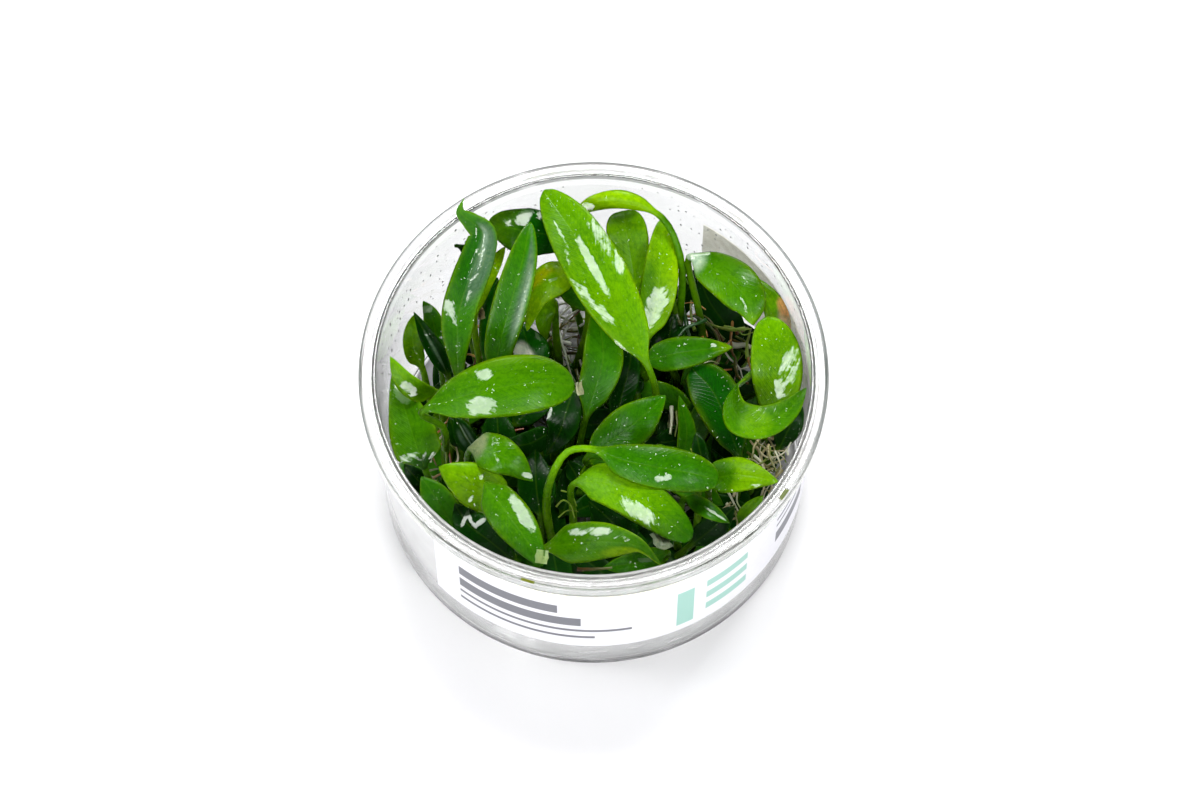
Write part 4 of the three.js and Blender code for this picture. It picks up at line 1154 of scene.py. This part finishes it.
def tubeRings(points, radius, sides, steps, taper, ridge=0.0, pitch=1.0):  # pitch: between ridges round it
    curve = SmoothPath(points)
    tangent = curve.directionAt(0)
    side = tangent.cross(Vector((0, 0, 1))).normalized()
    rings, travelled, before = [], 0.0, curve.pointAt(0)
    for i in range(steps + 1):
        t = i / steps
        center, tangent = curve.pointAt(t), curve.directionAt(t)
        travelled += (center - before).length
        before = center
        side = (side - tangent * side.dot(tangent)).normalized()
        up = side.cross(tangent)
        size = radius * (1 - taper * t) * (0.55 if i in (0, steps) else 1)
        size += ridge * max(math.cos(2 * math.pi * travelled / pitch), 0) ** 3
        angles = [2 * math.pi * k / sides for k in range(sides)]
        rings.append([center + side * math.cos(a) * size + up * math.sin(a) * size for a in angles])
    return rings


def scatterLowLeaves():  # dark leaves under the others, each grown from the nearest rhizome
    p = lowLeafPiece
    chance = random.Random(seed)
    feet = {}
    for node, rhizome in rhizomes.items():
        line = SmoothPath(stemLine(rhizome))
        feet[node] = [line.pointAt(t / 12) for t in range(13)]
    leavesOf = {node: [] for node in rhizomes}

    def add(node, foot, first, spots, half, tone):
        path = [seenFrom(foot.lerp(first, 0.5) + Vector((0, 0, 2)))] + spots
        leaf = dict(foot=foot.xy[:], path=path, half=half, cup=p["cup"], tone=tone, damp=p["damp"])
        leavesOf[node].append(leaf)

    steps = int(2 * p["reach"] / p["spacing"])
    for i in range(steps):
        for k in range(steps):
            x = -p["reach"] + (i + chance.uniform(0.1, 0.9)) * p["spacing"]
            y = -p["reach"] + (k + chance.uniform(0.1, 0.9)) * p["spacing"]
            middle = Vector((x, y, chance.uniform(*p["heights"])))
            angle, size = chance.uniform(0, 2 * math.pi), chance.uniform(*p["lengths"])
            half, tone = chance.uniform(*p["halves"]), chance.choice(p["tones"])
            if math.hypot(x, y) > p["reach"]:
                continue
            beneath = Vector((x, y, rhizomePiece["height"]))
            node, foot = min(
                ((node, foot) for node in feet for foot in feet[node]),
                key=lambda pair: (pair[1] - beneath).length,
            )
            ahead = Vector((math.cos(angle), math.sin(angle), 0)) * size * 0.5
            if max((middle + ahead).xy.length, (middle - ahead).xy.length) > p["wall"] - half * 0.8:
                continue
            start = middle - ahead - Vector((0, 0, chance.uniform(1, 5)))
            end = middle + ahead - Vector((0, 0, chance.uniform(-3, 3)))
            spots = [seenFrom(place) for place in (start, middle, end)]
            if any(a < u < b and c < v < d for u, v, _ in spots for a, b, c, d in p["windows"]):
                continue
            add(node, foot, start, spots, half, tone)
    for node, items in p["laid"].items():
        for half, spots in items:
            first = seenAt(spots[0])
            foot = min(feet[node], key=lambda foot: (foot - first).length)
            add(node, foot, first, spots, half, "dark")
    return leavesOf


def makeRhizome(node, rhizome, lowLeaves):
    p = rhizomePiece
    points, faces, kinds, tints, skins = [], [], [], [], []

    def take(kind, rings, ringTints, ringSkins):
        faces.extend(skinRings(rings, offset=len(points)))
        points.extend(point for ring in rings for point in ring)
        kinds.extend([kind] * (len(faces) - len(kinds)))
        tints.extend(ringTints)
        skins.extend(ringSkins)

    def takeTube(kind, rings, tone):
        count = sum(len(ring) for ring in rings)
        take(kind, rings, [(*srgb(tone), 1)] * count, [(5, 0, 5)] * count)

    stem = tubeRings(stemLine(rhizome), p["radius"], 20, 60, 0.0, p["ridge"], p["scar"])
    takeTube(0, stem, p["stemTone"])
    for root in rhizome["roots"]:
        takeTube(1, tubeRings(root, p["rootRadius"], 10, 40, p["rootTaper"]), p["rootTone"])
    for half, foot, path in rhizome["sprouts"]:
        take(2, *leafMesh(dict(foot=foot, path=path, half=half), p["height"], *p["sproutSteps"]))
    for leaf in lowLeaves:
        take(2, *leafMesh(leaf, p["height"], *p["lowLeafSteps"]))
    materials = [stemSkin, rootSkin, leafSkin]
    piece = makePiece(pascal(node), points, faces, materials, kinds, leafValues(tints, skins))
    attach(piece, "root")
    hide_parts(node)
    return piece


def makeLines(name, paths):  # each path: radius, tone at its start and end, and points as seen
    points, edges, sizes, tints = [], [], [], []
    for radius, first, last, path in paths:
        for i, point in enumerate(path):
            if i:
                edges.append((len(points) - 1, len(points)))
            points.append(seenAt(point) * scale)
            sizes.append(radius * scale)
            tints.extend((*blendColor(tones[first], tones[last], i / (len(path) - 1)), 1))
    mesh = bpy.data.meshes.new(name)
    mesh.from_pydata(points, edges, [])
    mesh.attributes.new("size", "FLOAT", "POINT").data.foreach_set("value", sizes)
    mesh.attributes.new("tint", "FLOAT_COLOR", "POINT").data.foreach_set("color", tints)
    lines = bpy.data.objects.new(name, mesh)
    bpy.context.scene.collection.objects.link(lines)
    return lines


def wanderingRoots():  # fine roots that leave the rhizomes at random, low over the floor
    p = fineRoots
    lowest, highest = p["heights"]
    chance = random.Random(seed + 1)
    paths = []
    for rhizome in rhizomes.values():
        line = SmoothPath(stemLine(rhizome))
        for i in range(p["wandering"]):
            spot = line.pointAt(chance.random())
            angle = chance.uniform(0, 2 * math.pi)
            rise = chance.uniform(-0.6, 1.6)
            path = [seenFrom(spot)]
            for k in range(5):
                angle += chance.uniform(-0.9, 0.9)
                spot = spot + Vector((math.cos(angle), math.sin(angle), 0)) * chance.uniform(*p["strides"])
                spot.z = min(max(spot.z + rise + chance.uniform(-1, 1), lowest), highest)
                if spot.xy.length > p["reach"]:
                    break
                path.append(seenFrom(spot))
            if len(path) > 2:
                paths.append((chance.uniform(*p["radii"]), *chance.choice(p["tones"]), path))
    return paths


def tangledRoots():  # loops of fine roots that fill the gaps between the leaves
    chance = random.Random(seed + 2)
    paths = []
    for sides, count, lengths, thickest, pairs in fineRoots["tangles"]:
        for i in range(count):
            place = Vector([chance.uniform(*side) for side in sides])
            angle, bend = chance.uniform(0, 2 * math.pi), chance.uniform(-0.4, 0.4)
            stride = chance.uniform(*lengths) / 6
            path = []
            for k in range(7):
                if seenAt(place).xy.length > fineRoots["reach"]:
                    break
                path.append(tuple(place))
                angle += bend + chance.uniform(-0.15, 0.15)
                rise = chance.uniform(-0.7, 0.7)
                place += Vector((math.cos(angle) * stride, math.sin(angle) * stride, rise))
                place.z = max(place.z, 3)
            radius, pair = chance.uniform(fineRoots["radii"][0], thickest), chance.choice(pairs)
            if len(path) > 2:
                paths.append((radius, *pair, path))
    return paths


def makeFineRoots():
    p = fineRoots
    growth = Growth(
        "rootlets", rootSkin, step=p["step"] * scale, wiggle=p["wiggle"] * scale,
        wiggleSize=p["wiggleSize"], taper=p["taper"], sides=p["sides"],
    )
    curve = growth.node("GeometryNodeMeshToCurve", {}, {0: growth.size("Start")})
    curve = growth.node("GeometryNodeCurveSplineType", {"spline_type": "CATMULL_ROM"}, {0: curve})
    sockets = {"Curve": curve, "Length": growth.size("step")}
    curve = growth.node("GeometryNodeResampleCurve", {"mode": "LENGTH"}, sockets)
    cloud = growth.noise(None, growth.size("wiggleSize"), 2.0, 0.5, "Color")
    sockets = {0: cloud, 1: (0.5, 0.5, 0.5)}
    offset = growth.node("ShaderNodeVectorMath", {"operation": "SUBTRACT"}, sockets)
    offset = offset.times(growth.vector(*[growth.size("wiggle")] * 3))
    curve = growth.node("GeometryNodeSetPosition", {}, {"Geometry": curve, "Offset": offset})
    thin = 1 - growth.node("GeometryNodeSplineParameter", {}, {}, "Factor") * growth.size("taper")
    sockets = {"Resolution": growth.size("sides"), "Radius": 1.0}
    profile = growth.node("GeometryNodeCurvePrimitiveCircle", {"mode": "RADIUS"}, sockets, "Curve")
    width = growth.named("size") * thin
    sockets = {"Curve": curve, "Profile Curve": profile, "Scale": width, "Fill Caps": True}
    tube = growth.node("GeometryNodeCurveToMesh", {}, sockets)
    lines = makeLines("rootLines", p["laid"] + tangledRoots() + wanderingRoots())
    roots = growth.grow("fineRoots", lines, tube)
    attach(roots, "root")
    return len(roots.data.polygons)


def makeWallDrops():  # beads of water on the inside of the wall, where the lid's damp air has settled
    p = wallDrops
    columns, rows = p["columns"], p["rows"]
    low, high = p["heights"]
    points, faces = [], []
    for first, last in p["arcs"]:
        start = len(points)
        for i in range(columns + 1):
            angle = math.radians(first + (last - first) * i / columns)
            for k in range(rows + 1):
                z = low + (high - low) * k / rows
                r = innerRadiusAt(z) - p["lift"]
                points.append((r * math.cos(angle), r * math.sin(angle), z))
        for i in range(columns):
            for k in range(rows):
                a = start + i * (rows + 1) + k
                faces.append((a, a + 1, a + rows + 2, a + rows + 1))
    patch = makePiece("dropPatch", points, faces, [waterDrop])
    growth = Growth(
        "beads", waterDrop, apart=p["apart"] * scale, density=p["density"] / scale ** 2,
        small=p["sizes"][0] * scale, large=p["sizes"][1] * scale,
    )
    sown = growth.tree.nodes.new("GeometryNodeDistributePointsOnFaces")
    sown.distribute_method = "POISSON"
    growth.feed(sown.inputs["Mesh"], growth.size("Start"))
    growth.feed(sown.inputs["Distance Min"], growth.size("apart"))
    growth.feed(sown.inputs["Density Max"], growth.size("density"))
    growth.feed(sown.inputs["Seed"], seed)
    width = growth.random(growth.size("small"), growth.size("large"), 1)
    stretch = growth.random(*p["stretch"], 2)
    shape = growth.vector(width, width * stretch, width * p["flatness"])
    bead = growth.node("GeometryNodeMeshIcoSphere", {}, {"Radius": 1.0, "Subdivisions": 2}, "Mesh")
    places, turns = Link(growth, sown.outputs["Points"]), Link(growth, sown.outputs["Rotation"])
    sockets = {"Points": places, "Instance": bead, "Scale": shape, "Rotation": turns}
    placed = growth.node("GeometryNodeInstanceOnPoints", {}, sockets)
    drops = growth.grow("wallDrops", patch, placed)
    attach(drops, "root")
    return len(drops.data.polygons)


def seenSurface(pieces):  # what a look from the viewpoint meets first
    points, faces = [], []
    for piece in pieces:
        start = len(points)
        points.extend(vertex.co / scale for vertex in piece.data.vertices)
        faces.extend([start + i for i in polygon.vertices] for polygon in piece.data.polygons)
    return BVHTree.FromPolygons(points, faces)


def heightSeen(surface, right, up):
    far, near = seenAt((right, up, 0)), seenAt((right, up, 70))
    hit = surface.ray_cast(near, (far - near).normalized())[0]
    return hit.z if hit else 0


def makeScraps(surface):  # bits of torn leaf on the others and on the rim, one thin bent sheet each
    p = scrapPiece
    side = p["side"]
    layer = side * side
    points, faces, tints = [], [], []
    for right, up, width, long, turn, tone in scraps:
        c, s = math.cos(math.radians(turn)), math.sin(math.radians(turn))
        start = len(points)
        rest = heightSeen(surface, right, up) + p["lift"]
        for level in (p["half"], -p["half"]):
            for i in range(side):
                for k in range(side):
                    a, b = (i / (side - 1) - 0.5) * width, (k / (side - 1) - 0.5) * long
                    a *= 1 + p["wave"] * math.sin(3 * b + right)
                    spot = right + a * c - b * s, up + a * s + b * c
                    height = heightSeen(surface, *spot) + p["lift"]
                    height = min(max(height, rest - p["sag"]), rest + p["climb"])
                    points.append(seenAt((*spot, height + level)))
                    tints.append((*tones[tone], p["damp"]))
        for i in range(side - 1):
            for k in range(side - 1):
                a = start + i * side + k
                faces.append((a, a + side, a + side + 1, a + 1))
                faces.append((a + layer, a + layer + 1, a + layer + side + 1, a + layer + side))
        there, back = range(side - 1), range(side - 1, 0, -1)
        border = [(i, 0) for i in there] + [(side - 1, k) for k in there]
        border += [(i, side - 1) for i in back] + [(0, k) for k in back]
        loop = [start + i * side + k for i, k in border]
        for a, b in zip(loop, loop[1:] + loop[:1]):
            faces.append((a, a + layer, b + layer, b))
    values = leafValues(tints, [(3, 0, -1)] * len(points))
    piece = makePiece("leafScraps", points, faces, [leafSkin], values=values, smooth=False)
    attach(piece, "root")


scrapPiece = {"side": 5, "half": 0.15, "lift": 0.25, "wave": 0.12, "sag": 0.8, "climb": 2.5, "damp": 0.6}
scraps = [  # right and up of the middle, as seen, width, length, turn, tone
    (-11, -39.3, 2.7, 2.9, -8, "scrap"), (14.4, -35.8, 3.4, 4.4, 24, "film"),
    (-3, -3.6, 1.5, 2.8, 12, "taupe"), (16.6, -10.2, 1.6, 3.8, -6, "taupe"),
    (-24, 12.4, 1.6, 2.6, 14, "rootTan"), (-14, -44.4, 3.2, 0.6, -17, "rootOlive"),
    (40.4, -26, 2.4, 0.9, 54, "rootOlive"),
]
fineRoots = {
    # lengths in mm; wandering: how many leave each rhizome; laid: those seen between the leaves, each as
    # radius, tone at its start and end, and its points as right, up and height
    "step": 0.6, "wiggle": 0.7, "wiggleSize": 260.0, "taper": 0.45, "sides": 7, "wandering": 26,
    "reach": 43, "radii": (0.16, 0.38), "strides": (2.2, 4), "heights": (2.6, 16),
    "tangles": [  # left and right, low and high, heights; how many, lengths, thickest, pairs of tones
        (((-10, -2), (0, 15), (6, 16)), 20, (9, 17), 0.45,
         [("rootWhite", "rootPale"), ("rootOlive", "rootBrown"), ("rootPale", "rootOlive"),
          ("rootWhite", "rootGrey"), ("rootBrown", "rootOlive")]),
        (((18, 24), (8, 24), (20, 34)), 9, (9, 16), 0.7,
         [("deep", "dark"), ("stalk", "dark"), ("dark", "rootOlive")]),
        (((21, 35), (0, 15), (18, 27)), 30, (5, 11), 0.5,
         [("rootOlive", "rootBrown"), ("rootBrown", "rootOlive"), ("stalk", "rootOlive"),
          ("rootGold", "rootBrown"), ("rootGreen", "rootOlive")]),
        (((33, 43), (-22, -13), (20, 30)), 40, (5, 10), 0.36,
         [("rootOlive", "rootTan"), ("rootTan", "rootOlive"), ("rootOlive", "rootGreen"),
          ("rootPale", "rootTan")]),
        (((28, 37), (-34, -26), (18, 26)), 16, (4, 8), 0.36,
         [("rootOlive", "rootTan"), ("rootTan", "rootPale")]),
        (((-38, -31), (-24, -13), (20, 28)), 14, (4, 9), 0.36,
         [("rootPale", "rootTan"), ("rootRed", "rootOlive")]),
        (((-27, -21), (-2, 12), (16, 24)), 12, (4, 9), 0.36,
         [("rootOlive", "rootBrown"), ("rootGold", "rootOlive")]),
    ],
    "tones": [("rootPale", "rootWhite"), ("rootOlive", "rootPale"), ("rootBrown", "rootOlive"),
              ("rootGrey", "rootPale"), ("rootOlive", "rootBrown")],
    "laid": [
        (0.34, "rootWhite", "rootPale", [(-1.2, 13.3, 14), (-3.2, 13, 14), (-5, 12, 14), (-6.6, 10.3, 13)]),
        (0.3, "rootOlive", "rootBrown", [(-6.2, 10.8, 13), (-7.3, 8.6, 12), (-6.9, 6.5, 11), (-6, 4, 10)]),
        (0.34, "rootPale", "rootGrey", [(-1.6, 13.6, 11), (-4, 14.5, 12), (-7, 14.3, 12), (-9, 12.6, 10)]),
        (0.9, "rootWhite", "rootPale", [(-2, 8.8, 5), (-4.5, 8.9, 5.4), (-6.6, 8.8, 5)]),
        (0.4, "rootOlive", "rootOlive", [(-9.2, 10.2, 9), (-7.4, 6.8, 9), (-5.6, 3.2, 9), (-4.2, 0.2, 8)]),
        (0.45, "rootGrey", "rootOlive", [(-7.7, 14, 16), (-9, 10, 15), (-10.6, 5, 14), (-8.6, -0.8, 10)]),
        (0.35, "rootOlive", "rootGrey", [(-9, -1.2, 12), (-6.8, -1.6, 12), (-4.2, -1.3, 12)]),
        (0.3, "rootGrey", "rootPale", [(-8.6, 6.4, 8), (-6.6, 3, 8), (-5.6, 0.2, 8)]),
        (0.25, "rootPale", "rootPale", [(-3.4, 12.2, 9), (-2.4, 11, 9), (-1.6, 9.4, 8)]),
        (0.5, "rootGrey", "rootWhite", [(-8, 15.8, 7), (-5.6, 16.4, 7), (-3.4, 15.6, 7)]),
        (0.28, "rootGreen", "rootGreen", [(27.6, 9.6, 26), (29.4, 9.5, 26), (31.4, 8.8, 26), (33.6, 9, 26)]),
        (0.2, "rootGreen", "rootGreen", [(30.8, 8.9, 26), (31.8, 7.8, 26), (33.8, 8.2, 26)]),
        (0.8, "rootWhite", "rootPale", [(28.6, 5.8, 22), (30.4, 5.4, 22), (32, 5.6, 22), (34, 4.8, 22)]),
        (0.24, "rootWhite", "rootWhite", [(28, 3.9, 24), (29.4, 2.2, 24), (31, 0.6, 25), (31.8, -1.8, 26)]),
        (0.2, "rootPale", "rootWhite", [(30, 0.4, 22), (32, 0.7, 22), (34.4, 1.3, 22)]),
        (0.3, "rootGold", "rootRed", [(26.6, 0.1, 27), (27.8, 0.3, 27), (29.4, 0.4, 27)]),
        (0.34, "rootBrown", "rootRed", [(22.4, 1.4, 28), (24.4, 2.8, 28), (27, 3.8, 28)]),
        (0.2, "rootPale", "rootGreen", [(22.6, 1.3, 29), (24.6, 2.2, 29), (26.6, 1.6, 29)]),
        (0.3, "rootRed", "rootGold", [(23.8, 12, 22), (23.6, 10.2, 22), (24.2, 7.4, 22)]),
        (0.2, "rootPale", "rootPale", [(21.6, 13.2, 24), (23, 12.8, 24), (24, 13.2, 24)]),
        (0.2, "rootPale", "rootGrey", [(25.6, 13, 24), (27, 14, 24), (28.4, 14.2, 24)]),
        (0.34, "rootRed", "rootRed", [(-31, -14.4, 24), (-30.8, -17, 24), (-30.2, -20.4, 24)]),
        (0.3, "rootGreen", "rootGreen", [(-31.6, -16.2, 26), (-31.3, -18, 26), (-31.2, -20.4, 26)]),
        (0.36, "rootGreen", "rootOlive", [(-30.2, -15.4, 22), (-28.8, -16.8, 22), (-27.4, -18.8, 22)]),
        (0.34, "rootPale", "rootGrey", [(-37.2, -22, 24), (-35.2, -21.1, 25), (-33, -20.6, 26)]),
        (0.42, "rootPale", "rootGold", [(-37.6, -23.3, 22), (-35, -23, 23), (-32, -21.6, 25)]),
        (0.16, "rootGreen", "rootPale", [(-35, -26.2, 27), (-33.4, -25, 27), (-32.2, -24.2, 27)]),
        (0.4, "rootGold", "rootBrown", [(-24.4, 9.8, 22), (-23.7, 8, 22), (-24.7, 4, 20), (-25.4, 1, 18)]),
        (0.3, "rootPale", "rootGrey", [(-23.4, 11.6, 22), (-23.2, 10.4, 22), (-23.6, 9.2, 22)]),
        (0.3, "rootGrey", "rootBrown", [(-24.2, 3.4, 20), (-24.4, 1.6, 20), (-23.8, 0.4, 20)]),
        (0.4, "rootBrown", "rootRed", [(-20.8, -13.4, 22), (-18, -13, 22), (-14.8, -12.1, 22)]),
        (0.5, "rootPale", "rootGrey", [(16.6, -7.4, 22), (16.5, -10, 22), (16.2, -13.2, 22)]),
        (0.3, "rootPale", "rootPale", [(28.4, -25.2, 24), (29.6, -27.6, 23), (31, -30.4, 22)]),
        (0.22, "rootPale", "rootGreen", [(30.4, -25.6, 25), (30.6, -28, 24), (32.4, -30.4, 24)]),
        (0.24, "rootTan", "rootPale", [(34.6, -16, 26), (37, -18.2, 28), (40, -17.6, 30), (42, -15, 31)]),
        (0.24, "rootOlive", "rootTan", [(35.4, -20.4, 26), (38, -19.6, 28), (40.6, -18.4, 30)]),
        (0.22, "rootTan", "rootOlive", [(37, -14, 26), (38.4, -16.6, 27), (38, -20, 28)]),
        (0.22, "rootGreen", "rootGreen",
         [(-8, -28.8, 30), (-6.6, -27.2, 31), (-5, -28.2, 31), (-4, -31, 30)]),
        (0.2, "rootGreen", "rootGreen", [(-6.8, -25.2, 30), (-4.8, -26, 31), (-3.6, -28.6, 31)]),
        (0.18, "rootGreen", "rootOlive", [(-7.4, -31, 29), (-5.6, -29.4, 30), (-3.2, -29.8, 29)]),
        (0.45, "rootBrown", "rootOlive", [(-3.4, -41.8, 30), (0, -41.9, 31), (4, -41.6, 31)]),
        (0.3, "rootGreen", "rootOlive", [(-2, 11.2, 7), (-4.6, 10.8, 8), (-6.8, 11.6, 8), (-8.6, 13.2, 8)]),
        (0.36, "rootBrown", "rootOlive", [(-2.2, 7, 6), (-4.4, 7.4, 6), (-6.6, 6.4, 6)]),
        (0.34, "rootOlive", "rootBrown", [(-8.2, 1.4, 6), (-7.6, 4, 6), (-8.6, 6.8, 6), (-10, 8.6, 6)]),
        (0.3, "rootGrey", "rootGrey", [(-8.4, 14.6, 9), (-8, 12.4, 9), (-6, 11.4, 9), (-5.4, 9.8, 9)]),
        (0.3, "rootOlive", "rootGrey", [(34, -13, 24), (36, -16, 25), (39, -19.6, 26)]),
        (0.24, "rootTan", "rootTan", [(33.2, -14.8, 25), (35.6, -18, 26), (36.4, -21.4, 27)]),
        (0.3, "rootGold", "rootTan", [(36.6, -13.6, 26), (39.6, -14, 28), (42, -12.6, 30)]),
        (0.3, "rootOlive", "rootOlive", [(32.6, -17, 22), (35, -19, 23), (38.4, -21, 25)]),
        (0.34, "rootPale", "rootGold", [(28.2, -28, 22), (29.8, -29.8, 22), (31.6, -32.4, 22)]),
        (0.3, "rootOlive", "rootOlive", [(17.6, -8.4, 22), (17.8, -11, 22), (17.2, -13.8, 22)]),
        (0.24, "rootGreen", "rootOlive", [(20.6, -16.4, 26), (22, -19, 27), (24.2, -21, 27)]),
        (0.3, "rootOlive", "rootBrown", [(-37.6, -13, 24), (-35, -16.8, 24), (-33.4, -20, 25)]),
    ],
}
wallDrops = {
    # degrees round the cup and heights on its wall that have drops, how far apart they are, their shape; mm
    "arcs": [(98, 176), (18, 78)], "heights": (24, 50), "columns": 40, "rows": 8, "lift": 0.03,
    "apart": 1.5, "density": 0.08, "sizes": (0.11, 0.3), "stretch": (1.0, 2.6), "flatness": 0.6,
}
lowLeaves = scatterLowLeaves()
rhizomePieces = [makeRhizome(node, rhizome, lowLeaves[node]) for node, rhizome in rhizomes.items()]
print("rhizomes made:", len(rhizomePieces))
makeScraps(seenSurface([cup] + leafPieces + rhizomePieces))
print("scraps made:", len(scraps))
print("fine roots made, faces:", makeFineRoots())
print("wall drops made, faces:", makeWallDrops())


# Studio: pale floor, soft lights, and the camera

studio = {
    "floorSize": 3.0, "room": 0.1, "frontWall": 2.2,
    "camera": {"pixelsPerMm": 4.71, "targetAt": (593.6, 371.6), "frame": (1200, 800)},
    "softboxes": {  # place, height of what it points at, width and length, all in metres, and power
        "overheadBox": ((0.0, 0.55, 1.275), 0.04, 0.5, 0.42, 15),
        "backBox": ((0.6, 0.9, 0.75), 0.03, 0.35, 0.5, 7),
        "sideBox": ((-1.0, 0.1, 0.6), 0.03, 0.3, 0.5, 4),
        "frontLeftBox": ((-0.7, -0.9, 0.9), 0.03, 0.5, 0.5, 6.5),
        "frontRightBox": ((0.7, -0.9, 0.9), 0.03, 0.5, 0.5, 6.5),
    },
}


def makeFloor():
    half, sunk = studio["floorSize"] / 2 / scale, -0.05
    corners = [(-half, -half, sunk), (half, -half, sunk), (half, half, sunk), (-half, half, sunk)]
    floor = makePiece("studioFloor", corners, [(0, 1, 2, 3)], [floorPaint], smooth=False)


def makeSoftbox(name, place, height, width, length, power):
    light = bpy.data.lights.new(name, "AREA")
    light.shape = "RECTANGLE"
    light.size, light.size_y = width, length
    light.energy = power
    box = bpy.data.objects.new(name, light)
    box.location = place
    aim = Vector((0, 0, height)) - Vector(place)
    box.rotation_euler = aim.to_track_quat("-Z", "Y").to_euler()
    bpy.context.scene.collection.objects.link(box)


def makeWorld():  # a white wall low in front of the cup, and a dim room round the rest
    world = bpy.data.worlds.new("studio")
    world.use_nodes = True
    wiring = Wiring(world.node_tree)
    away = wiring.node("ShaderNodeTexCoord", {}, {}, "Generated").part("Y")
    share = away.step(-0.45, -0.9)
    light = share * (studio["frontWall"] - studio["room"]) + studio["room"]
    wiring.feed(wiring.tree.nodes["Background"].inputs[0], light)
    bpy.context.scene.world = world


def makeCamera():
    c = studio["camera"]
    wide, high = c["frame"]
    camera = bpy.data.objects.new("camera", bpy.data.cameras.new("camera"))
    target = Vector((0, 0, view["middle"])) * scale
    distance = view["distance"] * scale
    camera.location = target - sight * distance
    camera.rotation_euler = (math.pi / 2 - view["elevation"], 0, 0)
    shown = wide / c["pixelsPerMm"] / view["distance"]
    camera.data.lens = camera.data.sensor_width / shown
    camera.data.shift_x = (wide / 2 - c["targetAt"][0]) / wide
    camera.data.shift_y = (c["targetAt"][1] - high / 2) / wide
    camera.data.clip_start = 0.05
    bpy.context.scene.collection.objects.link(camera)
    bpy.context.scene.camera = camera


makeFloor()
for name, numbers in studio["softboxes"].items():
    makeSoftbox(name, *numbers)
makeWorld()
makeCamera()
bpy.context.scene.view_settings.view_transform = "Standard"
print("studio made")
